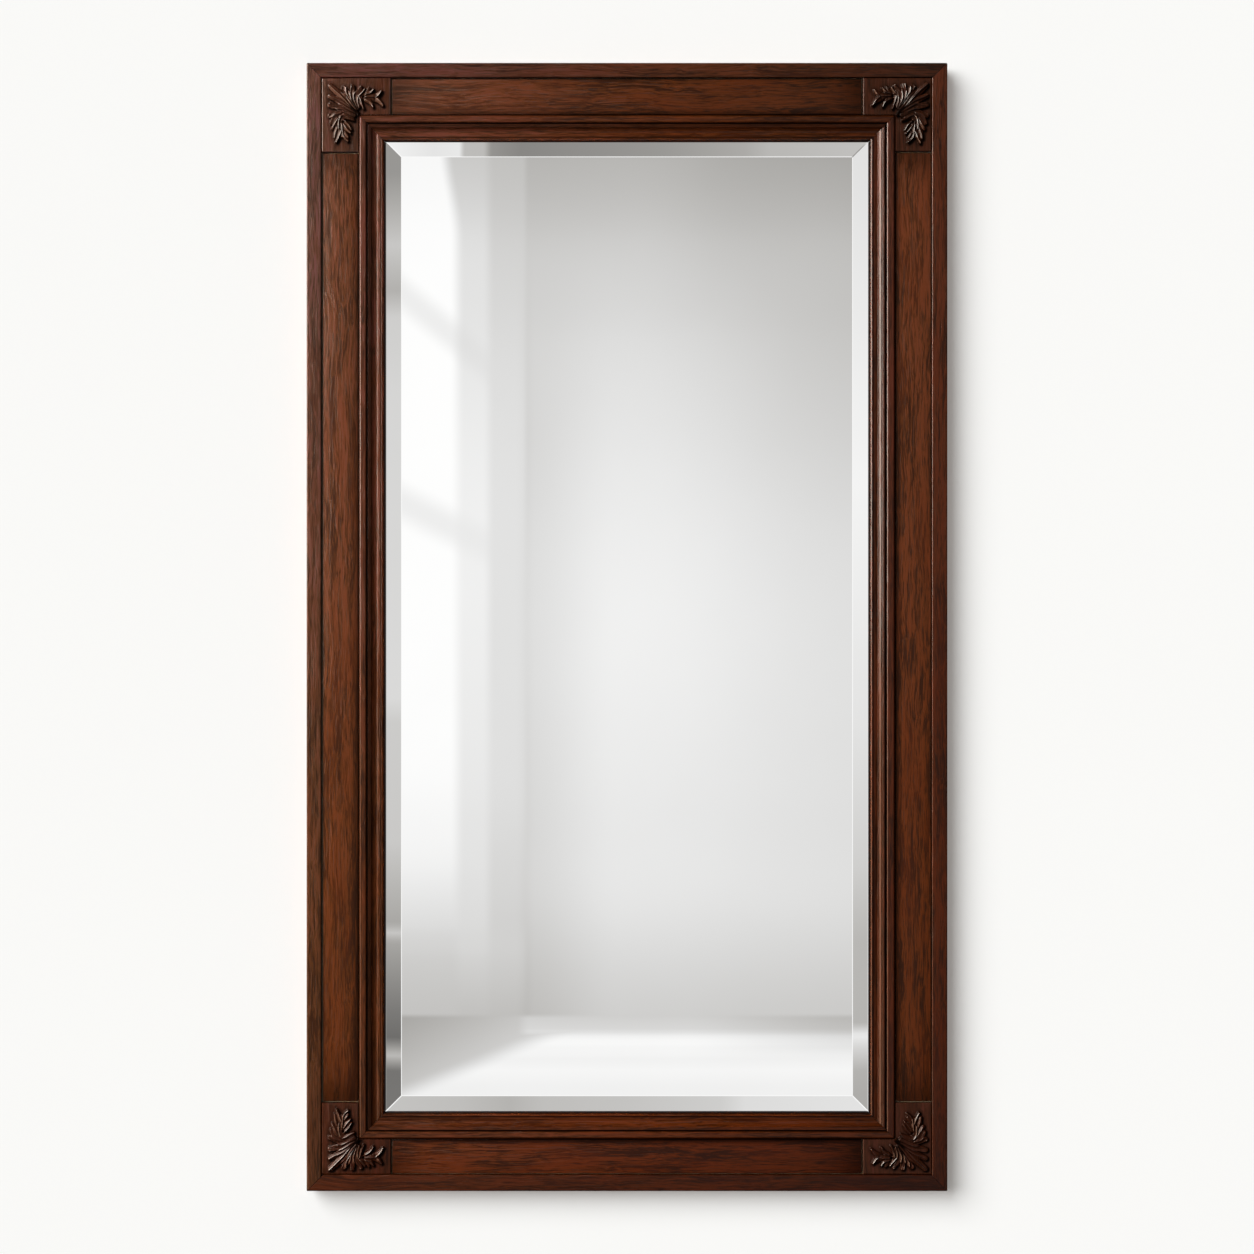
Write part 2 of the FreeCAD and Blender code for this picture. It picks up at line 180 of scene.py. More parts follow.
# %% A node tree and the one method that adds to it
class Recipe:
    """The nodes of one finish."""

    def __init__(self, tree):
        self.tree = tree
        tree.nodes.clear()

    def feed(self, value, socket):
        if isinstance(value, Wire):
            self.tree.links.new(value.socket, socket)
        elif socket.type == "RGBA" and len(value) == 3:
            socket.default_value = (*value, 1)
        else:
            socket.default_value = value

    def node(self, kind, settings=(), sockets=(), out=0):
        """Adds a node, sets its settings, then feeds its sockets, and gives one output."""
        made = self.tree.nodes.new(kind)
        for name, value in dict(settings).items():
            if name == "easing":
                made.color_ramp.interpolation = value
            elif name == "stops":
                elements = made.color_ramp.elements
                for index, (place, colour) in enumerate(value):
                    element = elements[index] if index < 2 else elements.new(place)
                    element.position = place
                    element.color = (*colour, 1)
            else:
                setattr(made, name, value)
        for name, value in dict(sockets).items():
            self.feed(value, made.inputs[name])
        return Wire(self, made.outputs[out])

    def stretch(self, vector, shares):
        return self.node("ShaderNodeVectorMath", {"operation": "MULTIPLY"}, {0: vector, 1: shares})

    def shift(self, vector, step):
        return self.node("ShaderNodeVectorMath", {"operation": "ADD"}, {0: vector, 1: step})

    def place(self):
        """Where each point lies in the object, in metres."""
        return self.node("ShaderNodeTexCoord", out="Object")

    def attribute(self, name):
        """A number that the mesh keeps under a name."""
        return self.node("ShaderNodeAttribute", {"attribute_name": name}, out="Fac")

    def noise(self, vector, detail=2.0, roughness=0.5, out="Fac"):
        sockets = {"Vector": vector, "Scale": 1.0, "Detail": detail, "Roughness": roughness}
        return self.node("ShaderNodeTexNoise", {}, sockets, out)

    def blend(self, share, first, second):
        """A colour between two others."""
        return self.node("ShaderNodeMix", {"data_type": "RGBA"}, {0: share, 6: first, 7: second}, 2)

    def ramp(self, share, stops):
        return self.node("ShaderNodeValToRGB", {"stops": stops}, {"Fac": share})

    def profile(self, coordinate, levels, easing="LINEAR"):
        """A number from a table of (coordinate from -1 to 1, level); levels lie between 0 and 1."""
        stops = [((place + 1) / 2, (level,) * 3) for place, level in sorted(levels)]
        settings = {"stops": stops, "easing": easing}
        return self.node("ShaderNodeValToRGB", settings, {"Fac": coordinate * 0.5 + 0.5})

    def axes(self, vector):
        """The x, y and z of a vector."""
        first = self.node("ShaderNodeSeparateXYZ", {}, {"Vector": vector})
        return [Wire(self, output) for output in first.socket.node.outputs]

    def finish(self, shader, world=False):
        end = self.tree.nodes.new("ShaderNodeOutputWorld" if world else "ShaderNodeOutputMaterial")
        self.feed(shader, end.inputs["Surface"])


def new_finish(name):
    """An empty material and its recipe."""
    material = bpy.data.materials.new(name)
    material.use_nodes = True
    return material, Recipe(material.node_tree)


def principled(recipe, sockets, relief=None, relief_depth=0.0, relief_share=0.3):
    """The surface shader, with an optional bump from a height."""
    sockets = dict(sockets)
    if relief is not None:
        sockets["Normal"] = recipe.node("ShaderNodeBump", {}, {
            "Strength": relief_share, "Distance": relief_depth, "Height": relief,
        })
    return recipe.node("ShaderNodeBsdfPrincipled", {}, sockets)


def scaled(colour, *shares):
    """A colour times one share, or times a share each for its red, green and blue."""
    return tuple(c * s for c, s in zip(colour, shares if len(shares) == 3 else shares * 3))


print("shader helpers ready")

# %% [markdown]
# ## Stained and varnished wood
# The frame is dark reddish brown hardwood: fine wavering streaks a millimetre or two wide run
# along every length, over broader light and dark figure, with short dark pores. The varnish is
# thin, so the shine is soft. A flat brown would look like plastic, and a picture of wood can't
# be used here, so several noises are stretched along the fibres and mixed.
# Lengths that stand and lengths that lie need the fibres turned, so each has its own finish.

# %% The wood recipe
# Waves of each noise per metre: across the fibres, through them and along them.
SWAY_WAVES = (26, 26, 11)
BOARD_WAVES = (75, 75, 7)
STREAK_WAVES = (390, 390, 13)
THREAD_WAVES = (850, 850, 42)
VESSEL_WAVES = (700, 700, 26)
RUST_WAVES = (48, 48, 10)
# How far the sway moves the fibres sideways, and how much each main noise moves the tone.
SWAY_REACH = 0.012
BOARD_SHARE, STREAK_SHARE, THREAD_SHARE = 2.3, 2.1, 3.2
# How far the painted shade reaches from the edges of a frieze board, where the mouldings and the
# blocks shade it: a fade and a dark band along its inner edge, a fade and a thin line along its
# outer edge, a fade and a band at its two ends.
INNER_FADE, INNER_BAND = 14 * MM, 6.6 * MM
OUTER_FADE, OUTER_LINE = 4 * MM, (2.4 * MM, 1.4 * MM)
END_FADE, END_BAND = 70 * MM, 7 * MM
# How dull the varnish is where the painted shade lies over it, and how deep the grain is felt.
DULL_SHARE = 0.85
RELIEF_DEPTH = 0.25 * MM


def wood(
    name, grain, tones, start=(0.0, 0.0, 0.0), depth=1.0, shine=0.24, gloss=0.10,
    mask=None, shade_paint_level=0.15, polish=None, coat=0.5, edges=None, painted_falloff=False,
):
    """Streaked wood; tones are its dark, middle and light colours.

    A mask names an attribute that is 1 where dark colour is painted in as shade, and polish one that is 1
    on worn crests. Edges give the axis across a board, the two distances from the middle
    between which it lies, how dark the painted shade along its inner edge is, the axis along it and where it
    ends.
    The last switch paints the light's falloff: the tone gets deeper toward the bottom or the right
    end of the length, away from the light, and the lighter end greyer, as a painted sheen.
    """
    material, made = new_finish(name)
    place = made.place()
    turn = (0, math.pi / 2, 0) if grain == "x" else (0, 0, 0)
    fibre = made.node("ShaderNodeMapping", {}, {"Vector": place, "Location": start, "Rotation": turn})

    sway = made.noise(made.stretch(fibre, SWAY_WAVES), 2, 0.5, "Color")
    sway = made.stretch(made.shift(sway, (-0.5, -0.5, -0.5)), (SWAY_REACH, SWAY_REACH, 0))
    fibre = made.shift(fibre, sway)

    board = made.noise(made.stretch(fibre, BOARD_WAVES), 2, 0.55) - 0.5
    streak = made.noise(made.stretch(fibre, STREAK_WAVES), 2, 0.6) - 0.5
    thread = made.noise(made.stretch(fibre, THREAD_WAVES), 2, 0.7) - 0.5
    vessel = made.noise(made.stretch(fibre, VESSEL_WAVES), 1, 0.5).rise(0.56, 0.68)

    value = 0.5 + board * (BOARD_SHARE * depth)
    value = value + streak * (STREAK_SHARE * depth) + thread * (THREAD_SHARE * depth)
    dark, middle, light = tones
    colour = made.ramp(value, [(0.1, dark), (0.5, middle), (0.9, light)])
    rust = made.noise(made.stretch(fibre, RUST_WAVES), 1, 0.5).rise(0.42, 0.68)
    colour = made.blend(rust * 0.25, colour, scaled(middle, 1.45, 0.98, 0.7))
    colour = made.blend(vessel * (0.35 * depth), colour, scaled(middle, 0.25))
    painted_shade_mask = None
    # Painted shade: where the mask attribute holds, the colour turns to a dark share of the middle tone.
    if mask:
        painted_shade_mask = made.attribute(mask)
        colour = made.blend(painted_shade_mask, colour, scaled(middle, shade_paint_level))
    # Painted shade along the board's edges and at its ends, where the mouldings and the blocks shade it.
    if edges:
        across, near, far, inner_shade, along, end = edges
        reach = made.axes(place)["xyz".index(across)].size()
        run = made.axes(place)["xyz".index(along)].size()
        painted_shade_mask = (1 - reach.rise(near, near + INNER_FADE)) ** 2 * inner_shade
        painted_shade_mask = painted_shade_mask.most((1 - reach.rise(near, near + inner_shade * INNER_BAND)) * 0.97)
        painted_shade_mask = painted_shade_mask.most(reach.rise(far - OUTER_LINE[0], far - OUTER_LINE[1]) * 0.95)
        painted_shade_mask = painted_shade_mask.most(reach.rise(far - OUTER_FADE, far) * 0.6).most(run.rise(end - END_BAND, end) * 0.6)
        painted_shade_mask = painted_shade_mask.most(run.rise(end - END_FADE, end) ** 2 * 0.5)
        colour = made.blend(painted_shade_mask, colour, scaled(middle, 0.06))
    if painted_falloff:
        # Painted light: the tone is lighter toward the light at the upper left and deeper away from it,
        # and painted shade makes both ends deeper by the blocks. The axis toward the lighter end, the
        # slope of the tone along it, where and how much deeper both ends are, and between which places
        # the lighter end turns greyer, as a painted sheen.
        x, y, z = made.axes(place)
        if grain == "z":
            toward, slope, ends, end_share, greyer = z, 0.42, (0.50, 0.62), 0.18, (-0.45, 0.60)
        else:
            toward, slope, ends, end_share, greyer = x * -1.0, 1.15, (0.20, 0.30), 0.12, (-0.15, 0.30)
        level = toward * slope + 1.03 - toward.size().rise(*ends) * end_share
        colour = made.node("ShaderNodeVectorMath", {"operation": "SCALE"}, {0: colour, "Scale": level})
        tint = made.blend(toward.rise(*greyer), (1.0, 1.0, 0.9), (0.91, 1.13, 2.6))
        colour = made.node("ShaderNodeVectorMath", {"operation": "MULTIPLY"}, {0: colour, 1: tint})
    sockets = {
        "Base Color": colour,
        "Roughness": shine + streak * 0.2 + vessel * 0.15,
        "Specular IOR Level": gloss,
    }
    if polish:
        worn = made.attribute(polish)
        sockets.update({"Coat Weight": worn * coat, "Coat Roughness": 0.15})
    relief = streak * 0.5 + thread * 0.5 - vessel * 0.6
    shader = principled(made, sockets, relief, RELIEF_DEPTH, 0.4)
    # Where painted shade lies, the shine is dulled as well.
    if painted_shade_mask is not None:
        dull = made.node("ShaderNodeBsdfDiffuse", {}, {"Color": colour})
        shader = made.node("ShaderNodeMixShader", {}, {0: painted_shade_mask * DULL_SHARE, 1: shader, 2: dull})
    made.finish(shader)
    return material


def toned(red, green, blue):
    """The dark, middle and light colours round one colour."""
    middle = (red, green, blue)
    return scaled(middle, 0.42, 0.41, 0.45), middle, scaled(middle, 1.56, 1.43, 2.3)


# Each frieze board's painted shade: the axis across it, the distances of its two edges from the middle, how
# dark the painted shade along its inner edge is, the axis along it and where it ends by the block.
upright_edges = ("x", frieze_low.x, frieze_high.x)
upright_end = ("z", frieze_high.z)
lying_edges = ("z", top_frieze_low.z, top_frieze_high.z)
lying_end = ("x", top_frieze_high.x)
frieze_edge_shade = {
    "left": (*upright_edges, 0.7, *upright_end), "right": (*upright_edges, 0.8, *upright_end),
    "top": (*lying_edges, 0.7, *lying_end), "bottom": (*lying_edges, 0.95, *lying_end),
}
GRAINS = {"left": "z", "right": "z", "top": "x", "bottom": "x"}
# Each board has its own tone, its own place in the grain, and how strong the grain is. The tones
# are partly the wood's own and partly painted light: the left board, nearest the light, is the
# lightest.
frieze_woods = {
    side: wood(
        "frieze_wood_" + side, GRAINS[side], toned(*tone), start, depth, edges=frieze_edge_shade[side], painted_falloff=True
    )
    for side, tone, start, depth in (
        ("left", (0.110, 0.0272, 0.0035), (0.0, 0.0, 0.0), 0.85),
        ("right", (0.080, 0.0176, 0.0016), (0.3, 0.1, 0.7), 1.25),
        ("top", (0.071, 0.0165, 0.0016), (0.1, 0.5, 0.2), 1.05),
        ("bottom", (0.063, 0.0108, 0.0006), (0.7, 0.2, 0.4), 1.15),
    )
}
# The bars' tones are partly the wood's own and partly painted light: the left bar, nearest the light, is the
# lightest, and the right and bottom ones the darkest.
bar_woods = {
    side: wood(f"bar_{side}_wood", GRAINS[side], toned(*tone), start, depth, painted_falloff=True)
    for side, tone, start, depth in (
        ("left", (0.091, 0.0288, 0.0066), (0.9, 0.2, 0.1), 0.85),
        ("right", (0.051, 0.0095, 0.0008), (0.4, 0.8, 0.3), 0.95),
        ("top", (0.062, 0.0158, 0.0032), (0.6, 0.3, 0.9), 0.75),
        ("bottom", (0.045, 0.0080, 0.0005), (0.2, 0.9, 0.6), 0.75),
    )
}
print(len(bpy.data.materials), "finishes so far")

# %% [markdown]
# ## Mitred mouldings
# On the real frame one length of moulding is planed to a section and cut at 45 degrees. Here a
# Geometry Nodes tree does the same: it sweeps the section along a straight line, then moves
# every point of the two ends by its own distance from the glass, which is the mitre. The same
# tree makes the inner and the outer lengths, because only the section and the length differ.

# %% The section as a line of points
def bowed_steps(start, end, sag, count=10):
    """Points from start toward end on an arc that stands off its chord by sag."""
    if not sag:
        return [start]
    run = (end[0] - start[0], end[1] - start[1])
    chord = math.hypot(*run)
    left = (-run[1] / chord, run[0] / chord)
    steps = []
    for index in range(count):
        share = index / count
        rise = 4 * sag * share * (1 - share)
        steps.append((start[0] + run[0] * share + left[0] * rise, start[1] + run[1] * share + left[1] * rise))
    return steps


def section_line(corners):
    """The outline through (d, height, sag to the next corner, radius of the corner), in mm."""
    count = len(corners)
    legs = []
    for index in range(count):
        d, height, sag, radius = corners[index]
        after = corners[(index + 1) % count]
        run = (after[0] - d, after[1] - height)
        length = math.hypot(*run)
        start = (d + run[0] / length * radius, height + run[1] / length * radius)
        end = (after[0] - run[0] / length * after[3], after[1] - run[1] / length * after[3])
        legs.append((start, end, sag))
    line = []
    for index in range(count):
        start, end, sag = legs[index]
        line += bowed_steps(start, end, sag)
        line.append(end)
        corner = corners[(index + 1) % count]
        after = legs[(index + 1) % count][0]
        if corner[3]:
            for step in range(1, 6):
                t = step / 6
                line.append(tuple(
                    (1 - t) ** 2 * end[axis] + 2 * t * (1 - t) * corner[axis] + t * t * after[axis]
                    for axis in (0, 1)
                ))
    tidy = []
    for point in line:
        if not tidy or math.dist(point, tidy[-1]) > 0.02:
            tidy.append(point)
    return [(d * MM, height * MM) for d, height in tidy]


inner_corners = [
    # The lip over the glass, with its small step.
    (0, 4.8, 0, 0.3),
    (1.9, 4.9, 0, 0.2),
    (2.3, 6.9, 0, 0.1),
    (3.6, 7.6, 0, 0.2),
    (4.2, 7.7, 0, 0.3),
    (4.7, 6.4, 0, 0.2),
    (5.4, 6.3, 0.12, 0),
    # The hollow and its slope up to the shoulder.
    (10.9, 5.4, -0.78, 0.4),
    (16.6, 9.6, 0, 0),
    # The crown of the shoulder.
    (17.3, 10.2, 0, 0.5),
    (18.7, 10.25, 0, 0),
    (20.9, 10.5, 0, 0.25),
    # The groove.
    (21.4, 6.2, 0, 0.15),
    (23.2, 6.2, 0, 0.15),
    # The flat fillet by the frieze, and the two hidden corners at the base.
    (23.25, 9.2, 0, 0.1),
    (24.5, 10.0, 0, 0.2),
    (29.95, 10.0, 0, 0.1),
    (30.55, 9.68, 0, 0.05),
    (32.4, 7.4, 0, 0.2),
    (32.5, 0, 0, 0),
    (0, 0, 0, 0),
]
bar_height = (base_y - outer_y) / MM
bar_back = (base_y - outer_high.y) / MM
start_mm, end_mm = outer_start / MM, outer_end / MM
# Where the lip ends and the groove lies, in mm from the glass.
lip_end = 2.2
groove_span = (20, 25)
# The right and bottom bars are a little wider than the others, in mm.
bar_creep = {"left": 0.0, "right": 1.1, "top": 0.0, "bottom": 2.2}
# The groove of the right length lies a little nearer to the glass.
groove_creep = {"left": 0.0, "right": 1.2, "top": 0.0, "bottom": 0.0}
# The lips were planed back from the glass a little, most of all along the top.
lip_creep = {"left": 0.3, "right": 0.5, "top": 1.6, "bottom": 0.5}


def outer_corners(side):
    """The corners of the outer bar's section, as section_line takes them."""
    start = start_mm - bar_creep[side]
    return [
        (start, bar_back, 0, 0.6), (start, bar_height, 0, 1.9),
        (end_mm, bar_height, 0, 1.6), (end_mm, bar_back, 0, 0.6),
    ]


def inner_corners_of(side):
    """The corners of the inner length's section, fitted to its side."""
    creep, lip = groove_creep[side], lip_creep[side]
    placed = []
    for d, *rest in inner_corners:
        if d < lip_end and rest[0]:
            d += lip * (1 - d / lip_end)
        placed.append((d - creep if groove_span[0] < d < groove_span[1] else d, *rest))
    return placed


print(len(section_line(inner_corners)), "points round the inner section")

# %% The tree that sweeps a section and cuts its mitres
def new_tree(name, inputs, output):
    """A Geometry Nodes tree with its recipe, its inputs' identifiers and their wires."""
    tree = bpy.data.node_groups.new(name, "GeometryNodeTree")
    names = {}
    for label, (kind, *default) in inputs.items():
        made = tree.interface.new_socket(name=label, in_out="INPUT", socket_type="NodeSocket" + kind)
        if default:
            made.default_value = default[0]
        names[label] = made.identifier
    tree.interface.new_socket(name=output, in_out="OUTPUT", socket_type="NodeSocketGeometry")
    recipe = Recipe(tree)
    given = tree.nodes.new("NodeGroupInput")
    return tree, recipe, names, {label: Wire(recipe, given.outputs[label]) for label in names}


def mitre_tree():
    """Sweeps the section, then moves each point of the ends by its distance from the glass."""
    tree, made, names, inputs = new_tree("mitred_length", {
        "Section": ("Geometry",), "Half length": ("Float", 0.5), "Joint gap": ("Float", 0.0),
        "Wood": ("Material",),
    }, "Length")
    path = made.node("GeometryNodeCurvePrimitiveLine", {}, {"Start": (0, 0, -1), "End": (0, 0, 1)})
    swept = made.node("GeometryNodeCurveToMesh", {}, {
        "Curve": path, "Profile Curve": inputs["Section"], "Fill Caps": True,
    })
    x, y, z = made.axes(made.node("GeometryNodeInputPosition"))
    reach = z * (inputs["Half length"] + x - inputs["Joint gap"])
    place = made.node("ShaderNodeCombineXYZ", {}, {"X": x, "Y": y, "Z": reach})
    cut = made.node("GeometryNodeSetPosition", {}, {"Geometry": swept, "Position": place})
    whole = made.node("GeometryNodeRealizeInstances", {}, {"Geometry": cut})
    dressed = made.node("GeometryNodeSetMaterial", {}, {"Geometry": whole, "Material": inputs["Wood"]})
    made.feed(dressed, tree.nodes.new("NodeGroupOutput").inputs[0])
    return tree, names


mitres, mitre_names = mitre_tree()


def plain_mesh(piece, name):
    """The evaluated object as a plain mesh, with the maker object removed."""
    graph = bpy.context.evaluated_depsgraph_get()
    mesh = bpy.data.meshes.new_from_object(piece.evaluated_get(graph))
    mesh.name = name
    data = piece.data
    bpy.data.objects.remove(piece)
    if isinstance(data, bpy.types.Curve):
        bpy.data.curves.remove(data)
    return mesh


def mesh_from(shape, name):
    """A bmesh as a mesh, with the bmesh freed."""
    mesh = bpy.data.meshes.new(name)
    shape.to_mesh(mesh)
    shape.free()
    return mesh


def add_line(curve, points, closed=True):
    """A line through points of (x, y, z) in a curve."""
    spline = curve.splines.new("POLY")
    spline.points.add(len(points) - 1)
    for point, place in zip(spline.points, points):
        point.co = (*place, 1)
    spline.use_cyclic_u = closed


def show(name, mesh, sharp_degrees):
    """A new object for a mesh, smooth except at its sharp edges."""
    mesh.shade_smooth()
    mesh.set_sharp_from_angle(angle=math.radians(sharp_degrees))
    return linked(name, mesh)


def settle(piece, body, slot, *nodes):
    """The piece rides on its body and stands for its nodes, whose CAD parts are hidden. The slot is not used.
    """
    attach(piece, body)
    if nodes:
        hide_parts(*nodes)
    return piece


print("mitre tree with inputs", ", ".join(mitre_names))

# %% Sweep the eight lengths
# How the section's d, its height and the length of each side lie in the frame.
SIDES = {
    "right": (sight_x, sight_z, (1, 0, 0), (0, 0, -1)),
    "left": (sight_x, sight_z, (-1, 0, 0), (0, 0, 1)),
    "top": (sight_z, sight_x, (0, 0, 1), (1, 0, 0)),
    "bottom": (sight_z, sight_x, (0, 0, -1), (-1, 0, 0)),
}
joint_gap = 0.3 * MM


def moulding(name, side, line, finish):
    """One mitred length of a section, on its side of the frame."""
    across, along, outward, run = SIDES[side]
    curve = bpy.data.curves.new(name + "_section", "CURVE")
    curve.dimensions = "3D"
    add_line(curve, [(d, height, 0) for d, height in line])
    maker = linked(name + "_maker", curve)
    sweep = maker.modifiers.new("sweep", "NODES")
    sweep.node_group = mitres
    sweep[mitre_names["Half length"]] = along
    sweep[mitre_names["Joint gap"]] = joint_gap
    sweep[mitre_names["Wood"]] = finish
    mesh = plain_mesh(maker, name)
    outward, forward, run = Vector(outward), Vector((0, -1, 0)), Vector(run)
    turn = Matrix((outward, forward, run)).transposed().to_4x4()
    middle = outward * across + Vector((0, base_y, 0))
    mesh.transform(Matrix.Translation(middle) @ turn)
    return show(name, mesh, 24)


def clockwise(line):
    """Whether the outline turns clockwise, which would turn the swept faces inward."""
    pairs = zip(line, line[1:] + line[:1])
    return sum((b[0] - a[0]) * (b[1] + a[1]) for a, b in pairs) > 0


def swept_line(corners):
    line = section_line(corners)
    return line[::-1] if clockwise(line) else line


for side in SIDES:
    name = "outer_bar_" + side
    piece = moulding(name, side, swept_line(outer_corners(side)), bar_woods[side])
    settle(piece, "frame", "outer_wood", "outer_moulding_" + side)
    print(name, len(piece.data.polygons), "faces")

# %% [markdown]
# ## Painted shade in the hollow
# The shade in the recesses of the inner length is painted into its colour: at the foot of the lip
# by the glass, where the hollow starts below the lip, in the groove, on the rising side and the
# shoulder, most on the lengths away from the light, and on the steep rim by the frieze. So each
# point of it keeps a number, its share of painted shade, that the wood recipe reads as an
# attribute. It comes from the place in the section, so it stays with the moulding whatever its length.

# %% The inner wood, with painted shade in its recesses
# The tones of the inner lengths are partly the wood's own and partly painted light: the left one, nearest the
# light, is the lightest and the right one the darkest.
inner_woods = {
    side: wood(
        "inner_wood_" + side, GRAINS[side], toned(*tone), start, 0.75, shine=0.18, gloss=0.11,
        mask="recess", shade_paint_level=0.1, painted_falloff=True,
    )
    for side, tone, start in (
        ("left", (0.088, 0.0225, 0.0042), (0.5, 0.5, 0.6)),
        ("right", (0.055, 0.0110, 0.0015), (0.7, 0.1, 0.2)),
        ("top", (0.080, 0.0190, 0.0028), (0.3, 0.6, 0.8)),
        ("bottom", (0.074, 0.0150, 0.0015), (0.8, 0.4, 0.5)),
    )
}
# The rising side of the hollow gets more painted shade on the lengths that face away from the window light.
shoulder_painted_shade = {"left": 0.75, "top": 0.6, "bottom": 0.15}
# On the right length the painted shade leaves bare only the slope and, for a thin line, the crown,
# where the light catches: where each stretch ends, in mm from the glass, and its painted shade.
right_painted_shade = ((15.3, 0.0), (16.9, 0.65), (18.2, 0.15), (19.0, 0.5), (21.2, 0.9))
# In mm from the glass: the walls of the groove and its greatest height, where the lip's painted
# shade fades, where the hollow starts and its painted shade fades, where the shoulder's painted
# shade grows and where that ends, and where the painted shade by the frieze starts. The last is
# how dark the lighter painted shades are.
groove_walls, groove_height = (20.9, 23.8), 8.6
lip_fade = (2.4, 1.2)
hollow_start, hollow_fade = 4.4, (6.8, 5.4)
shoulder_rise, shoulder_end = (15.4, 16.9), 21.2
rim_start = 30.9
lighter_painted_shade = 0.75


def share_of_way(value, span):
    """0 at the first place of the span, 1 at the second, and no less or more outside them."""
    first, second = span
    return max(0.0, min(1.0, (value - first) / (second - first)))


def paint_shade_on_inner_length(piece, side):
    """Stores how much painted shade each point of an inner length gets."""
    across, along, outward, run = SIDES[side]
    outward = Vector(outward)
    values = []
    for vertex in piece.data.vertices:
        d = (outward.dot(vertex.co) - across) / MM
        height = (base_y - vertex.co.y) / MM
        in_groove = groove_walls[0] < d + groove_creep[side] < groove_walls[1] and height < groove_height
        hollow = lighter_painted_shade * share_of_way(d, hollow_fade) if d > hollow_start else 0.0
        if d >= shoulder_end:
            shoulder = 0.0
        elif side == "right":
            shoulder = next(shade_paint_level for end, shade_paint_level in right_painted_shade if d < end)
        else:
            shoulder = shoulder_painted_shade[side] * share_of_way(d, shoulder_rise)
        rim = lighter_painted_shade if d > rim_start else 0.0
        values.append(max(float(in_groove), hollow, share_of_way(d, lip_fade), shoulder, rim))
    piece.data.attributes.new("recess", "FLOAT", "POINT").data.foreach_set("value", values)


for side in SIDES:
    name = "inner_length_" + side
    piece = moulding(name, side, swept_line(inner_corners_of(side)), inner_woods[side])
    paint_shade_on_inner_length(piece, side)
    settle(piece, "frame", "inner_wood", "inner_moulding_" + side)
    print(name, len(piece.data.polygons), "faces")

# %% [markdown]
# ## Frieze boards and corner blocks
# The frieze is four flat boards, and the corner blocks stand 2.5 mm proud of it. A saw leaves
# a sharp edge and sandpaper takes it off: that small round is what catches the light, so each
# outline is raised to its thickness and its front edges are bevelled with a few segments.

# %% Boards raised from an outline
def prism(outline, first_y, second_y):
    """A bmesh that reaches from an outline of (x, z) at first_y to second_y."""
    shape = bmesh.new()
    corners = [shape.verts.new((x, first_y, z)) for x, z in outline]
    face = shape.faces.new(corners)
    grown = bmesh.ops.extrude_face_region(shape, geom=[face])
    moved = [item for item in grown["geom"] if isinstance(item, bmesh.types.BMVert)]
    bmesh.ops.translate(shape, verts=moved, vec=(0, second_y - first_y, 0))
    bmesh.ops.recalc_face_normals(shape, faces=shape.faces)
    return shape


def raised(name, outline, back_y, front_y, ease, segments, finish, sharp_degrees=40, left_sharp=None):
    """A flat-faced piece from an outline of (x, z), with its front edges eased.

    Edges whose two ends both pass the left_sharp test stay as the saw left them.
    """
    shape = prism(outline, back_y, front_y)
    middle = (back_y + front_y) / 2
    edges = [edge for edge in shape.edges if max(v.co.y for v in edge.verts) < middle]
    if left_sharp:
        edges = [edge for edge in edges if not left_sharp(*(v.co for v in edge.verts))]
    bmesh.ops.bevel(
        shape, geom=edges, offset=ease, segments=segments, profile=0.5, affect="EDGES", clamp_overlap=True
    )
    mesh = mesh_from(shape, name)
    mesh.materials.append(finish)
    # The rounds alone lean between the front and the sides.
    rims = [1.0 if 0.05 < -face.normal.y < 0.995 else 0.0 for face in mesh.polygons]
    mesh.attributes.new("worn", "FLOAT", "FACE").data.foreach_set("value", rims)
    return show(name, mesh, sharp_degrees)


def oblong(low, high, trims):
    """The corners of a box's face, cut back at its left, right, bottom and top."""
    left, right, bottom, top = trims
    return [
        (low.x + left, low.z + bottom), (high.x - right, low.z + bottom),
        (high.x - right, high.z - top), (low.x + left, high.z - top),
    ]


# How far each board is cut back at its left, right, bottom and top, in mm.
board_trims = {
    "left": (2.2, 0.8, 1.0, 2.0), "right": (0.8, 1.2 + bar_creep["right"], 1.0, 1.0),
    "top": (1.9, 2.2, 0.8, 1.2), "bottom": (1.9, 2.2, 1.2 + bar_creep["bottom"], 0.8),
}
for side in SIDES:
    low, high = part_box("frieze_" + side)
    outline = oblong(low, high, [trim * MM for trim in board_trims[side]])
    piece = raised("frieze_board_" + side, outline, high.y, low.y, 0.6 * MM, 3, frieze_woods[side])
    settle(piece, "frame", "frieze_wood", "frieze_" + side)
    print(piece.name, len(piece.data.polygons), "faces")

# %% The L-shaped blocks
CORNERS = {"top_right": (1, 1), "top_left": (-1, 1), "bottom_right": (1, -1), "bottom_left": (-1, -1)}
frieze_width = frieze_high.x - frieze_low.x
block_x, block_z = block_high.x, block_high.z
block_width, block_height = block_high.x - block_low.x, block_high.z - block_low.z
trim = 0.6 * MM

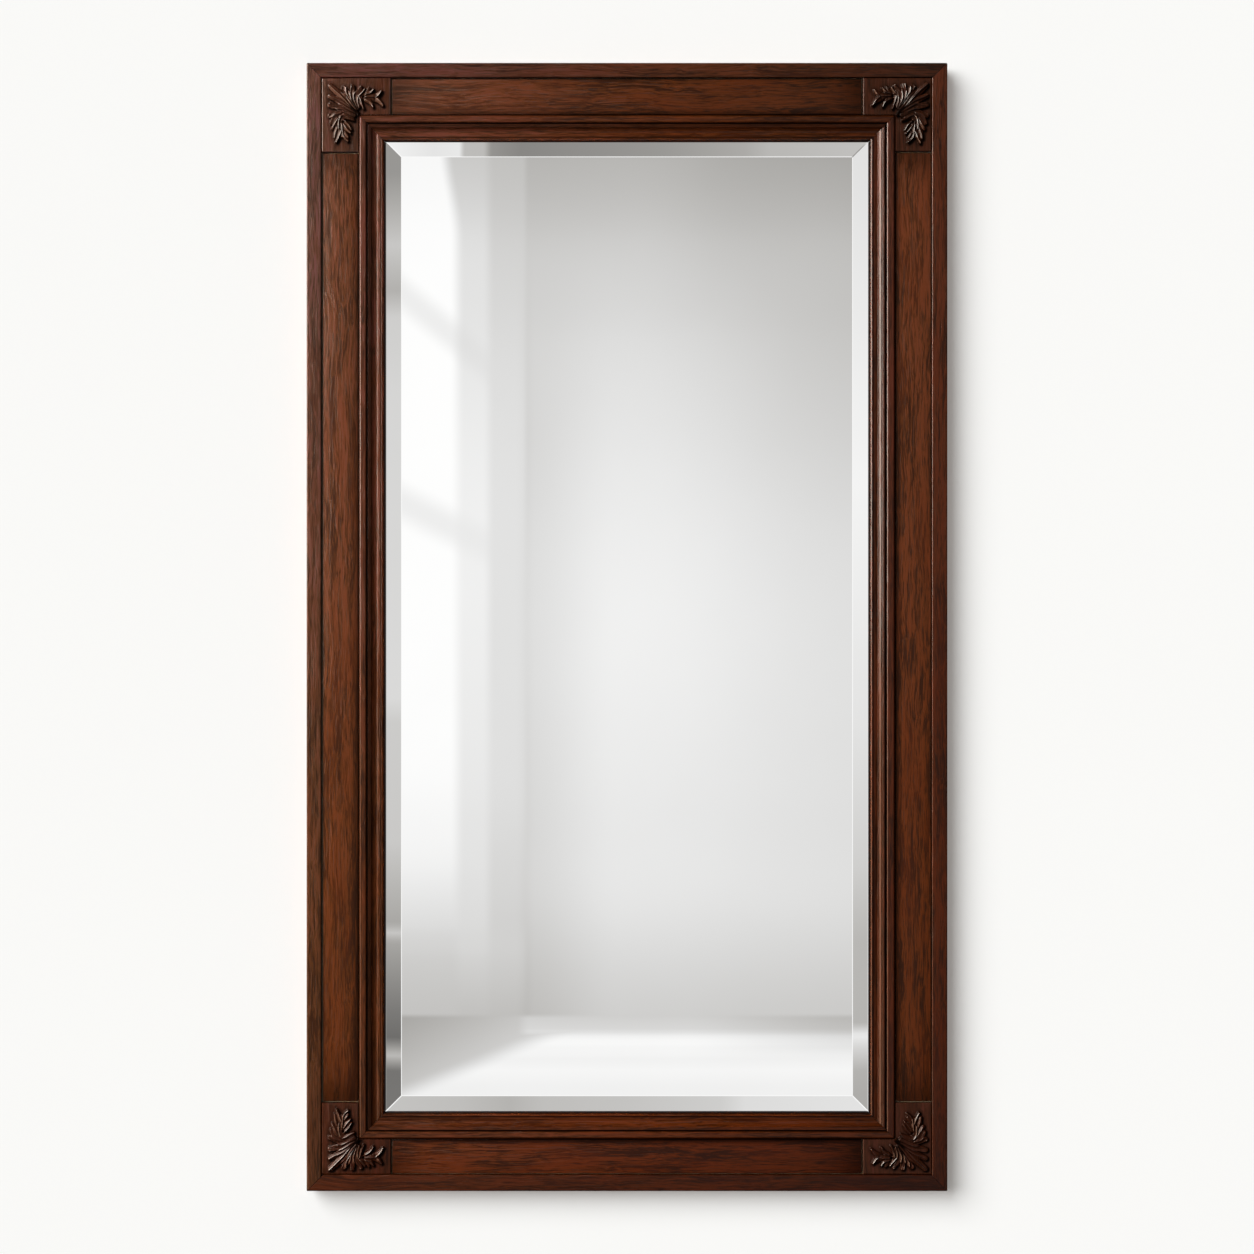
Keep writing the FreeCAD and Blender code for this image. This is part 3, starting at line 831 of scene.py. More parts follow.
# The tone of each block and the place of its grain. The tones are partly the wood's own and
# partly painted light: the upper left block, nearest the light, is the lightest.
block_tones = {
    "top_right": ((0.036, 0.0102, 0.0032), (0.2, 0.7, 0.4)),
    "top_left": ((0.072, 0.0242, 0.0102), (0.6, 0.1, 0.9)),
    "bottom_right": ((0.038, 0.0104, 0.0036), (0.1, 0.3, 0.5)),
    "bottom_left": ((0.046, 0.0115, 0.0035), (0.8, 0.9, 0.2)),
}
block_woods = {
    corner: wood(
        "block_wood_" + corner, "z", toned(*tone), start, 0.5, gloss=0.07,
        polish="worn" if corner == "top_left" else None,
    )
    for corner, (tone, start) in block_tones.items()
}
leg = frieze_width - trim
inside_x, inside_z = block_x - leg, block_z - leg


def by_the_moulding(first, second):
    """Whether an edge of a block lies against the inner moulding."""
    upright = all(abs(abs(point.x) - inside_x) < 1e-5 for point in (first, second))
    lying = all(abs(abs(point.z) - inside_z) < 1e-5 for point in (first, second))
    return upright or lying


for corner, (sign_x, sign_z) in CORNERS.items():
    side_trim = trim + (bar_creep["right"] * MM if sign_x > 0 else 0)
    end_trim = trim + (bar_creep["bottom"] * MM if sign_z < 0 else 0)
    # The blocks were sawn a little long.
    long = block_width - trim + (1.2 if sign_x > 0 else 0.9) * MM
    tall = block_height - trim + (1.0 * MM if corner == "top_left" else 0)
    steps = [(side_trim, end_trim), (long, end_trim), (long, leg), (leg, leg), (leg, tall), (side_trim, tall)]
    outline = [(sign_x * (block_x - u), sign_z * (block_z - v)) for u, v in steps]
    # The edges of the left blocks are worn rounder.
    ease, segments = (1.6 * MM, 3) if sign_x < 0 else (1.2 * MM, 2)
    piece = raised(
        "leaf_block_" + corner, outline, block_high.y, block_low.y, ease, segments, block_woods[corner],
        20, by_the_moulding,
    )
    settle(piece, "frame", "block_wood", "corner_block_" + corner)
    print(piece.name, len(piece.data.polygons), "faces")

# %% [markdown]
# ## Carved acanthus leaves
# A carver first cuts the mass of the leaf: a fan of broad lobes that spring from one root, with
# a lobed arm along each leg of the block. Then thin raised ribs are left standing along the
# lobes. It could be sculpted by hand, but a height field is exact and repeatable: each lobe is
# a path with its widths, each rib a path with its height, and every grid point adds the two.
# The four corners are mirror images of one leaf, each fitted a little to its block.

# %% The lobes and ribs of one leaf
# Points are in mm from the block's outer corner, u inward and v down, before they are spread
# over the block by leaf_place.
# Each lobe: points and its half widths at the root, the middle and the tip.
LOBES = [
    ([(44, 45), (24, 24), (9.5, 10.5)], (2.2, 5.0, 3.4)),
    ([(41, 38), (33, 23), (25.5, 12.5)], (2.6, 4.0, 3.2)),
    ([(42, 37), (37, 23), (36.5, 11)], (2.4, 3.6, 2.8)),
    ([(44, 36), (41, 22), (47, 12)], (2.2, 3.0, 2.2)),
    ([(45, 34), (45, 24), (51.2, 14.5)], (2.0, 3.0, 1.8)),
    ([(45.4, 24), (46.9, 30), (50, 38)], (2.2, 2.1, 1.4)),
    ([(49, 23.3), (58, 23.5), (66, 24)], (3.0, 4.2, 3.4)),
    ([(63, 22.5), (68, 20.5), (71.6, 16.8)], (3.4, 2.9, 1.6)),
    ([(63, 26), (69, 29), (73.4, 34.2)], (3.4, 2.9, 1.6)),
    ([(53, 21), (58.5, 18.2), (61.8, 14.6)], (3.0, 2.5, 1.5)),
    ([(53, 27), (58.5, 30.8), (61.5, 35.8)], (3.0, 2.5, 1.5)),
    ([(53.5, 18.5), (55, 16), (56.6, 13)], (2.2, 2.0, 1.5)),
    ([(42, 43), (26, 31.5), (9, 23)], (2.4, 4.2, 3.0)),
    ([(40, 45), (25, 37.5), (9, 33.5)], (2.4, 4.2, 3.2)),
    ([(38, 47), (24, 42.5), (9, 46.5)], (2.4, 4.2, 3.0)),
    ([(38, 51.8), (30, 48.3), (21, 48)], (1.6, 2.8, 3.6)),
    ([(22, 45), (15.5, 48.5), (10.5, 55)], (3.2, 4.0, 2.4)),
    ([(21, 49), (16.5, 56), (12.2, 62)], (3.2, 3.8, 2.2)),
    ([(23.5, 50), (24, 60), (23, 69)], (2.8, 4.8, 4.2)),
    ([(26, 66), (27.6, 72.5), (30.8, 77)], (3.2, 2.8, 1.6)),
    ([(21, 63), (19, 71.5), (16.9, 78)], (3.6, 3.2, 1.7)),
    ([(27, 54), (31.4, 58), (35, 63.2)], (2.4, 2.5, 1.5)),
    ([(26.5, 59), (29.8, 63.2), (33.8, 67.2)], (2.4, 2.5, 1.5)),
    ([(26.5, 65), (29, 69.5), (31, 72.8)], (2.4, 2.2, 1.5)),
    ([(20, 58), (16.5, 66), (14.8, 72.8)], (3.0, 3.2, 1.8)),
]
# Each rib: points and height.
RIBS = [
    ([(44.2, 45.2), (33.3, 34.6), (24.7, 24.9), (15.4, 16), (6.8, 8.4)], 1.7),
    ([(40.5, 38), (34, 30.2), (29, 22.8), (24.7, 17.9), (22.2, 10.8)], 1.3),
    ([(41, 36.5), (35.6, 29), (32.1, 24.0), (28.7, 17.9), (28.6, 9.8)], 1.6),
    ([(42, 37), (35.6, 28.6), (33.8, 22), (33.3, 17.3), (35, 9)], 1.7),
    ([(43, 38), (41.4, 34.6), (38.3, 27.2), (37.7, 22.8), (39.5, 17.3), (43.2, 12.3), (48.1, 9.8)], 1.7),
    ([(44.5, 37), (42.8, 29.5), (43.2, 24.1), (45.4, 21), (48.8, 17.6), (51.9, 13.5)], 1.7),
    ([(45.2, 23.8), (46.9, 30.2), (50, 38.3)], 1.6),
    ([(52.5, 23.2), (59.9, 23.6), (65.4, 23.8)], 1.2),
    ([(65.0, 24.0), (67.9, 21.6), (71.8, 16.6)], 1.6),
    ([(65.2, 24.4), (70.0, 28.8), (73.6, 34.4)], 1.6),
    ([(52.5, 20.6), (58.4, 18.6), (62, 14.4)], 1.5),
    ([(52.8, 27.2), (58.4, 30.6), (61.6, 36.0)], 1.5),
    ([(43, 43), (30.9, 33.6), (21.6, 28), (12.3, 24.6), (6.8, 21.4)], 1.2),
    ([(42, 43), (34.6, 39.4), (23.5, 33.2), (15, 31.4), (7.4, 30.8)], 1.7),
    ([(39.5, 45), (33.3, 42.6), (28.4, 40.3), (21, 38.3), (13, 40), (7.4, 44.5)], 1.6),
    (
        [(38.8, 52.2), (32.7, 49.4), (28.4, 46.9), (24.1, 45.8), (21.4, 48.4), (19.9, 53), (19.6, 61.5)],
        1.8,
    ),
    ([(22, 43.5), (15.4, 45.3), (11.1, 48.6), (8.6, 53)], 1.0),
    ([(18.6, 50), (15.4, 55.6), (12.3, 60.4)], 1.0),
    ([(26.2, 52.3), (31.4, 57.5), (35.2, 63.6)], 1.6),
    ([(25.8, 57.4), (29.6, 62.6), (34, 67.3)], 1.6),
    ([(23.6, 57.4), (24.2, 65), (25.2, 71), (27.8, 74.8), (31.2, 77.3)], 1.7),
    ([(26.8, 67.3), (30.8, 72.6)], 1.0),
    ([(22.6, 65), (19.8, 72.6), (16.7, 78.2)], 1.4),
    ([(18.4, 60.5), (15.6, 67.4), (14.8, 72.8)], 0.8),
]
# Each pit: place, half width and depth, where the arms leave the fan.
PITS = [((49.6, 23.6), 2.4, 2.6), ((25.4, 53.4), 2.2, 2.6)]


def leaf_place(points):
    return np.array(points, float) * (1.065, 1.05) - (1.7, 2.0)


def smooth_path(points, count):
    """A rounded path through points, by Catmull and Rom's rule."""
    points = leaf_place(points)
    padded = np.vstack([2 * points[0] - points[1], points, 2 * points[-1] - points[-2]])
    spans = len(points) - 1
    places = np.linspace(0, spans, count)
    index = np.minimum(places.astype(int), spans - 1)
    t = (places - index)[:, None]
    a, b, c, d = (padded[index + k] for k in range(4))
    return 0.5 * (2 * b + (c - a) * t + (2 * a - 5 * b + 4 * c - d) * t**2 + (3 * b - a - 3 * c + d) * t**3)


print(len(LOBES), "lobes and", len(RIBS), "ribs")

# %% The height field
# All in mm: the grid over a block, the root that the ribs spring from, and the sizes of the
# mass, the flutes between the ribs, the ribs' crests and the low skirt round the leaf, which
# carries the leaf's painted shadow onto the block.
block_margin = 2.2
leaf_span = 86.0
grid_step = 0.32
root_place = 45
body_height = 2.9
flute_height = 0.9
flute_slope = 0.36
flute_most = 4.6
crest_height = 0.95
crest_width = 1.15
full_rib = 1.7
skirt_height = 0.06
skirt_width = 4.2
leaf_limit = (block_low.y - leaf_front) / MM
axis = np.arange(block_margin, leaf_span, grid_step)
u_grid, v_grid = np.meshgrid(axis, axis, indexing="ij")
root_gap = np.hypot(u_grid - root_place, v_grid - root_place)


def softened(field):
    """The field with each point averaged with its neighbours."""
    for direction in (0, 1):
        field = (np.roll(field, 1, direction) + 2 * field + np.roll(field, -1, direction)) / 4
    return field


def eased(share):
    """A share from 0 to 1 with a soft start and a soft end."""
    return share * share * (3 - 2 * share)


def gaps_to(points, count=90, reach=7):
    """The window of the grid round a path, and its points' distances to the path."""
    path = smooth_path(points, count)
    low, high = path.min(0) - reach, path.max(0) + reach
    rows = np.where((axis > low[0]) & (axis < high[0]))[0]
    columns = np.where((axis > low[1]) & (axis < high[1]))[0]
    window = np.ix_(rows, columns)
    gaps = np.hypot(u_grid[window][..., None] - path[:, 0], v_grid[window][..., None] - path[:, 1])
    return window, gaps, np.linspace(0, 1, count)


def carve():
    """The leaf's height in mm, its polish, its cuts, and how far outside it each point lies."""
    outside = np.full(u_grid.shape, 99.0)
    nearest, second = np.full(u_grid.shape, 99.0), np.full(u_grid.shape, 99.0)
    strength = np.ones(u_grid.shape)
    for points, widths in LOBES:
        window, gaps, share = gaps_to(points)
        beyond = (gaps - np.interp(share, (0, 0.5, 1), widths)).min(-1)
        outside[window] = np.minimum(outside[window], beyond)
    for points, top in RIBS:
        window, gaps, share = gaps_to(points)
        gap = gaps.min(-1)
        closer = gap < nearest[window]
        second[window] = np.where(closer, nearest[window], np.minimum(second[window], gap))
        strength[window] = np.where(closer, top / full_rib, strength[window])
        nearest[window] = np.minimum(nearest[window], gap)
    half = np.minimum((nearest + second) / 2, flute_most)
    slide = np.clip(nearest / np.maximum(half, 0.2), 0, 1)
    crowd = np.clip((root_gap - 4) / 16, 0.12, 1)
    flute = (1 - slide**2) * np.clip(half * flute_slope, 0, flute_height)
    crest = np.clip(1 - nearest / crest_width, 0, 1)
    crest = eased(crest) * np.minimum(strength, 1.2) * crowd
    cuts = np.clip(1 - (second - nearest) / 1.2, 0, 1) * 0.85
    pits = np.zeros(u_grid.shape)
    for place, half_width, deep in PITS:
        u, v = leaf_place(place)
        near = np.clip(1 - np.hypot(u_grid - u, v_grid - v) / half_width, 0, 1)
        pits = np.maximum(pits, eased(near) * deep)
    inside = np.clip((0.3 - outside) / 1.2, 0, 1)
    mass = np.sqrt(1 - (1 - inside) ** 2)
    crown = np.clip(-outside / 4, 0, 1) * 0.6
    field = softened(mass * (body_height + crown + flute) - pits)
    field = np.maximum(np.minimum(field + mass * crest * crest_height, leaf_limit), skirt_height)
    return field, crest * inside, np.maximum(cuts, np.clip(pits, 0, 1)), outside


leaf_field, leaf_crest, leaf_cuts, leaf_outside = carve()
print(f"leaf relief {leaf_field.max():.2f} mm of {leaf_limit:.2f}")

# %% The leaf as a closed mesh
# The carver cut each corner by eye: stretch and step of the leaf over each block, u then v.
LEAF_FIT = {
    "top_right": (0.975, 0.0, 1.013, 0.3), "top_left": (0.955, 3.7, 0.972, 2.5),
    "bottom_left": (0.955, 3.7, 1.03, 0.6), "bottom_right": (0.978, 1.4, 0.97, 1.4),
}
# In mm: how near the leaf comes to the corner inside the L, and to the ends of the legs.
inner_corner = frieze_width / MM - 0.8
end_margin = 2.4


def worn_crests():
    """Where a cloth polishes the ribs: not near the root, where they crowd together."""
    return np.clip(leaf_crest * 1.8 - 0.5, 0, 1) * np.clip((root_gap - 6) / 14, 0, 1)


def painted_leaf_shade(sign_x, sign_z):
    """How dark the painted shade is: full in the cuts, by the root, and round the foot.

    The leaf's shadow is painted most under the leaf, below it and to its right.
    """
    # Painted shade in the cuts and by the root, and on the steep sides of the leaf.
    flat = 0.97 * leaf_cuts + 0.95 * np.exp(-root_gap / 11)
    side = np.clip((2.2 - leaf_field) / 1.2, 0, 1)
    # Painted shadow of each rib, a few steps toward its lower right.
    shade = np.zeros(leaf_crest.shape)
    for step in (2, 3, 4):
        shade = np.maximum(shade, np.roll(leaf_crest, (-step * sign_x, step * sign_z), (0, 1)))
    shade = np.clip(shade * 1.3 - leaf_crest * 2.2, 0, 1)
    on_leaf = np.maximum.reduce([flat, side * 0.95, shade * 0.95])
    # Painted shadow of the leaf on the block round its foot, reaching farther below it and to its right.
    rim = np.maximum(leaf_outside, 0)
    below = np.maximum(np.roll(leaf_outside, (-5 * sign_x, 5 * sign_z), (0, 1)), 0)
    foot = np.maximum(np.exp(-rim / 0.8), 0.95 * np.exp(-below / 1.6))
    foot = foot * np.clip((skirt_width - leaf_outside) / 1.4, 0, 1)
    return np.clip(np.where(leaf_outside < 0.1, on_leaf, foot), 0, 1)


def leaf_mesh(name, corner, finish):
    """The field's cells over the block, closed at the back."""
    sign_x, sign_z = CORNERS[corner]
    wide, step, tall, drop = LEAF_FIT[corner]
    u, v = u_grid * wide + step, v_grid * tall + drop
    least_v = block_margin + (bar_creep["bottom"] if sign_z < 0 else 0)
    least_u = block_margin + (bar_creep["right"] if sign_x > 0 else 0)
    kept = (leaf_outside < skirt_width) & ((u < inner_corner) | (v < inner_corner))
    kept &= (u > least_u) & (v > least_v)
    kept &= (u < block_width / MM - end_margin) & (v < block_height / MM - end_margin)
    cells = kept[:-1, :-1] & kept[1:, :-1] & kept[:-1, 1:] & kept[1:, 1:]
    used = np.zeros(kept.shape, bool)
    for row in (0, 1):
        for column in (0, 1):
            used[row:row + cells.shape[0], column:column + cells.shape[1]] |= cells
    number = np.full(used.shape, -1)
    number[used] = np.arange(used.sum())
    count = int(used.sum())
    x = sign_x * (block_x - u[used] * MM)
    z = sign_z * (block_z - v[used] * MM)
    front = np.stack([x, block_low.y - leaf_field[used] * MM, z], 1)
    back = np.stack([x, np.full(count, block_low.y + 0.5 * MM), z], 1)
    i, j = np.where(cells)
    quads = np.stack([number[i, j], number[i + 1, j], number[i + 1, j + 1], number[i, j + 1]], 1)
    if sign_x * sign_z > 0:
        quads = quads[:, ::-1]
    edges = np.concatenate([quads[:, [k, (k + 1) % 4]] for k in range(4)])
    keys = {(a, b) for a, b in edges.tolist()}
    rim = [(a, b) for a, b in keys if (b, a) not in keys]
    walls = [(b, a, a + count, b + count) for a, b in sorted(rim)]
    faces = quads.tolist() + (quads[:, ::-1] + count).tolist() + walls
    mesh = bpy.data.meshes.new(name)
    mesh.from_pydata(np.concatenate([front, back]).tolist(), [], faces)
    # The attribute named cut holds the leaf's painted shade and shadow; crest holds the polish of the ribs.
    for attribute, values in (("cut", painted_leaf_shade(sign_x, sign_z)[used]), ("crest", worn_crests()[used])):
        values = np.concatenate([values, np.zeros(count)]).astype(np.float32)
        mesh.attributes.new(attribute, "FLOAT", "POINT").data.foreach_set("value", values)
    mesh.materials.append(finish)
    return mesh


for corner in CORNERS:
    tone, start = block_tones[corner]
    finish = wood(
        "leaf_wood_" + corner, "z", toned(*scaled(tone, 0.85)), start, 0.5, gloss=0.07,
        mask="cut", shade_paint_level=0.08, polish="crest", coat=0.75,
    )
    mesh = leaf_mesh("acanthus_leaf_" + corner, corner, finish)
    piece = show("acanthus_leaf_" + corner, mesh, 80)
    settle(piece, "frame", "leaf_wood", "corner_leaf_" + corner)
    print(piece.name, 2 * len(mesh.polygons), "triangles")

# %% [markdown]
# ## The bevelled plate
# The plate is 5 mm glass, silvered at the back, with a 26 mm bevel of about 5 degrees. A real
# one reflects at the back of the glass. Modelling both faces would double the reflection, so
# the front carries the mirror. Narrow facets along the bevel's inner line and on its mitres
# are what shows as bright threads on the real plate.

# %% Build the plate from eight-cornered rings
bevel_width = 26 * MM
bevel_fall = 2.2 * MM
top_bevel_rise = 1.7 * MM
thread = 0.45 * MM
mitre_cut = 0.9 * MM
rim_inner, rim_outer = 7.1 * MM, 5.0 * MM
rim_slope = math.tan(math.radians(3.5))


def plate_ring(inset, y, cut):
    """The eight points of a ring round the plate, with its corners cut off."""
    x, z = plate_high.x - inset, plate_high.z - inset
    return [
        (x, y, z - cut), (x, y, cut - z), (x - cut, y, -z), (cut - x, y, -z),
        (-x, y, cut - z), (-x, y, z - cut), (cut - x, y, z), (x - cut, y, z),
    ]


def build_plate():
    front_y = plate_low.y
    slope = bevel_fall / bevel_width
    rim_y = front_y + (bevel_width - rim_inner) * slope
    rings = [
        plate_ring(bevel_width + thread, front_y, mitre_cut),
        plate_ring(bevel_width - thread, front_y + thread * slope, mitre_cut),
        plate_ring(rim_inner, rim_y, mitre_cut),
        plate_ring(rim_outer, rim_y + (rim_inner - rim_outer) * rim_slope, mitre_cut),
        plate_ring(0, front_y + bevel_fall, mitre_cut),
        plate_ring(0, plate_high.y, mitre_cut),
    ]
    shape = bmesh.new()
    loops = [[shape.verts.new(point) for point in ring] for ring in rings]
    shape.faces.new(loops[0])
    shape.faces.new(loops[-1][::-1])
    for inner, outer in zip(loops, loops[1:]):
        for k in range(8):
            after = (k + 1) % 8
            shape.faces.new((inner[k], outer[k], outer[after], inner[after]))
    for point in (point for loop in loops[:4] for point in loop if point.co.z > 0):
        point.co.z += top_bevel_rise
    bmesh.ops.recalc_face_normals(shape, faces=shape.faces)
    mesh = mesh_from(shape, "bevelled_plate")
    # Silver on the faces that look forward, paint on the back, and ground glass round the edge.
    for polygon in mesh.polygons:
        forward = polygon.normal.y
        polygon.material_index = 0 if forward < -0.5 else 2 if forward > 0.5 else 1
    return mesh


def silvering():
    material, made = new_finish("silvered_glass")
    place = made.place()
    haze = made.noise(made.stretch(place, (9, 9, 9)), 3, 0.6)
    shader = principled(made, {
        "Base Color": made.blend(haze, (0.905, 0.905, 0.905), (0.925, 0.925, 0.925)),
        "Metallic": 1.0,
        "Roughness": (haze - 0.5).most(0) * 0.02,
    })
    made.finish(shader)
    return material


def grained(name, waves, detail, first, second, roughness, relief_share):
    """A dull finish of two tones mixed by one fine noise."""
    material, made = new_finish(name)
    grain = made.noise(made.stretch(made.place(), (waves,) * 3), detail, 0.6)
    shader = principled(made, {
        "Base Color": made.blend(grain, first, second),
        "Roughness": roughness + grain * 0.2,
    }, grain, 0.1 * MM, relief_share)
    made.finish(shader)
    return material


plate_mesh = build_plate()
plate_mesh.materials.append(silvering())
plate_mesh.materials.append(
    grained("ground_glass_edge", 700, 2, (0.16, 0.30, 0.25), (0.30, 0.46, 0.40), 0.35, 0.3)
)
plate_mesh.materials.append(
    grained("mirror_backing_paint", 260, 3, (0.12, 0.13, 0.135), (0.20, 0.21, 0.215), 0.5, 0.2)
)
plate = linked("bevelled_plate", plate_mesh)
settle(plate, "frame", "silvered_plate", "mirror_plate")
print("plate", len(plate_mesh.polygons), "faces")

# %% [markdown]
# ## Hardboard, steel and rubber finishes
# The back is plain: pale poplar, brown hardboard with a fine pressed screen on its rough side,
# dull zinc plated steel and black rubber. Each still has its own grain, so each gets a recipe.

# %% Recipes for the back
def poplar(name, grain, start):
    pale = ((0.33, 0.24, 0.13), (0.50, 0.40, 0.25), (0.62, 0.52, 0.36))
    return wood(name, grain, pale, start, 0.35, 0.6, 0.3)


def speckled(name, first, second, scale, roughness, metallic=0.0, depth=0.0001, gloss=0.5):
    """A finish of two mixed tones with fine relief."""
    material, made = new_finish(name)
    place = made.place()
    broad = made.noise(made.stretch(place, (scale * 0.08,) * 3), 2, 0.5)
    fine = made.noise(made.stretch(place, (scale,) * 3), 3, 0.6)
    shader = principled(made, {
        "Base Color": made.blend(broad * 0.5 + fine * 0.5, first, second),
        "Roughness": roughness + (fine - 0.5) * 0.2,
        "Metallic": metallic,
        "Specular IOR Level": gloss,
    }, fine, depth, 0.3)
    made.finish(shader)
    return material


def pressed_board():
    material, made = new_finish("pressed_hardboard")
    place = made.place()
    x, y, z = made.axes(place)
    cell = 1.6 * MM
    wave_x = made.node("ShaderNodeMath", {"operation": "SINE"}, {0: x * (2 * math.pi / cell)})
    wave_z = made.node("ShaderNodeMath", {"operation": "SINE"}, {0: z * (2 * math.pi / cell)})
    screen = (wave_x * wave_z) * 0.5 + 0.5
    fibre = made.noise(made.stretch(place, (420, 420, 420)), 4, 0.7)
    cloud = made.noise(made.stretch(place, (12, 12, 12)), 3, 0.6)
    shader = principled(made, {
        "Base Color": made.ramp(fibre * 0.6 + cloud * 0.4, [
            (0.25, (0.060, 0.030, 0.016)), (0.5, (0.125, 0.066, 0.036)), (0.75, (0.20, 0.115, 0.066)),
        ]),
        "Roughness": 0.7 + (fibre - 0.5) * 0.2,
        "Specular IOR Level": 0.3,
    }, screen * 0.5 + fibre * 0.5, 0.0003, 0.5)
    made.finish(shader)
    return material


poplar_stile = poplar("poplar_stile", "z", (0.2, 0.2, 0.2))
poplar_rail = poplar("poplar_rail", "x", (0.5, 0.1, 0.6))
zinc = speckled("zinc_plate", (0.42, 0.43, 0.44), (0.60, 0.61, 0.62), 900, 0.34, 1.0, 0.00005)
bright_steel = speckled("drawn_steel_wire", (0.50, 0.50, 0.49), (0.66, 0.66, 0.65), 1300, 0.28, 1.0, 0.00004)
point_steel = speckled("blued_point_steel", (0.20, 0.21, 0.23), (0.34, 0.35, 0.37), 900, 0.42, 1.0, 0.00005)
rubber = speckled("black_rubber", (0.012, 0.012, 0.012), (0.030, 0.030, 0.029), 1500, 0.72, 0.0, 0.0001, 0.3)
foam_grey = speckled("foam_grey", (0.30, 0.30, 0.31), (0.46, 0.46, 0.47), 900, 0.9, 0.0, 0.0004, 0.2)
card_brown = speckled("card_brown", (0.26, 0.18, 0.10), (0.36, 0.26, 0.16), 700, 0.8, 0.0, 0.0001, 0.2)
hardboard = pressed_board()

# The CAD nodes that stay as they are take a finish.
for node, finish in (
    ("base_stile_left", poplar_stile), ("base_stile_right", poplar_stile),
    ("base_rail_top", poplar_rail), ("base_rail_bottom", poplar_rail),
    ("foam_sheet", foam_grey), ("setting_blocks", rubber),
    ("edge_shims", card_brown), ("mitre_v_nails", point_steel),
):
    for slot in frame["nodes"][node].material_slots:
        slot.material = finish
low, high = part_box("back_panel")
panel = raised("hardboard_panel", oblong(low, high, (0, 0, 0, 0)), low.y, high.y, 0.4 * MM, 2, hardboard)
settle(panel, "frame", "panel_board", "back_panel")
print(len(bpy.data.materials), "finishes in all")

# %% [markdown]
# ## Points and screws
# Eighteen flat steel points pin the panel, and four pan head screws hold the hangers. Small
# repeated hardware is one shape set down many times, so one tree copies a piece onto points
# and turns each copy by an angle stored on its point.

# %% The tree that sets a piece on points
def setting_tree():
    """Copies a piece onto points, each copy turned by the angle on its point."""
    tree, made, names, inputs = new_tree("set_on_points", {
        "Places": ("Geometry",), "Piece": ("Object",), "Metal": ("Material",),
    }, "Set")
    piece = made.node("GeometryNodeObjectInfo", {}, {"Object": inputs["Piece"]}, "Geometry")
    turn = made.node(
        "GeometryNodeInputNamedAttribute", {"data_type": "FLOAT_VECTOR"}, {"Name": "turn"}, "Attribute"
    )
    copies = made.node("GeometryNodeInstanceOnPoints", {}, {
        "Points": inputs["Places"], "Instance": piece, "Rotation": turn,
    })
    whole = made.node("GeometryNodeRealizeInstances", {}, {"Geometry": copies})
    dressed = made.node("GeometryNodeSetMaterial", {}, {"Geometry": whole, "Material": inputs["Metal"]})
    made.feed(dressed, tree.nodes.new("NodeGroupOutput").inputs[0])
    return tree, names


setting, setting_names = setting_tree()


def set_down(name, template, places, metal):
    """Copies of a template mesh at (place, turn) pairs, as one mesh."""
    pattern = linked(name + "_pattern", template)
    cloud = bpy.data.meshes.new(name + "_places")
    cloud.from_pydata([place for place, turn in places], [], [])
    turns = [value for place, turn in places for value in turn]
    cloud.attributes.new("turn", "FLOAT_VECTOR", "POINT").data.foreach_set("vector", turns)
    maker = linked(name + "_maker", cloud)
    step = maker.modifiers.new("set", "NODES")
    step.node_group = setting
    step[setting_names["Piece"]] = pattern
    step[setting_names["Metal"]] = metal
    mesh = plain_mesh(maker, name)
    bpy.data.objects.remove(pattern)
    return show(name, mesh, 35)


def lathe(profile, steps):
    """A closed turned shape about Y from a profile of (radius, y) that starts and ends on the axis."""
    shape = bmesh.new()
    rings = []
    for radius, y in profile:
        if radius < 1e-7:
            rings.append([shape.verts.new((0, y, 0))])
        else:
            angles = [2 * math.pi * k / steps for k in range(steps)]
            rings.append([shape.verts.new((radius * math.cos(a), y, radius * math.sin(a))) for a in angles])
    for one, two in zip(rings, rings[1:]):
        for k in range(steps):
            after = (k + 1) % steps
            corners = [one[k % len(one)], two[k % len(two)], two[after % len(two)], one[after % len(one)]]
            corners = list(dict.fromkeys(corners))
            if len(corners) > 2:
                shape.faces.new(corners)
    bmesh.ops.recalc_face_normals(shape, faces=shape.faces)
    return shape


# %% The panel points
point_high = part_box("panel_points")[1]
panel_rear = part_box("back_panel")[1].y
point_sheet = 0.8 * MM
point_width = 10 * MM
point_reach = 7 * MM
# Where a point starts to narrow toward its foot and by how much, and where its round end starts.
taper_start, taper = 4 * MM, 2.2 * MM
round_start, round_reach = -3 * MM, 4 * MM
rebate_x = point_high.x - point_reach
rebate_z = point_high.z - point_reach


def point_template():
    """A flat point that lies across the rebate wall, with its rounded free end toward -X."""
    half = point_width / 2
    outline = [
        (point_reach, -half + taper), (point_reach, half - taper), (taper_start, half), (round_start, half),
    ]
    for step in range(1, 8):
        angle = math.pi / 2 + math.pi * step / 8
        outline.append((round_start + round_reach * math.cos(angle), half * math.sin(angle)))
    outline += [(round_start, -half), (taper_start, -half)]
    shape = prism(outline, 0, point_sheet)
    rims = [edge for edge in shape.edges if abs(edge.verts[0].co.y - edge.verts[1].co.y) < 1e-6]
    bmesh.ops.bevel(shape, geom=rims, offset=0.12 * MM, segments=1, affect="EDGES")
    return mesh_from(shape, "point_pattern")


def spread(count, reach):
    """Evenly spaced places between -reach and reach."""
    return [reach * (2 * (index + 1) / (count + 1) - 1) for index in range(count)]


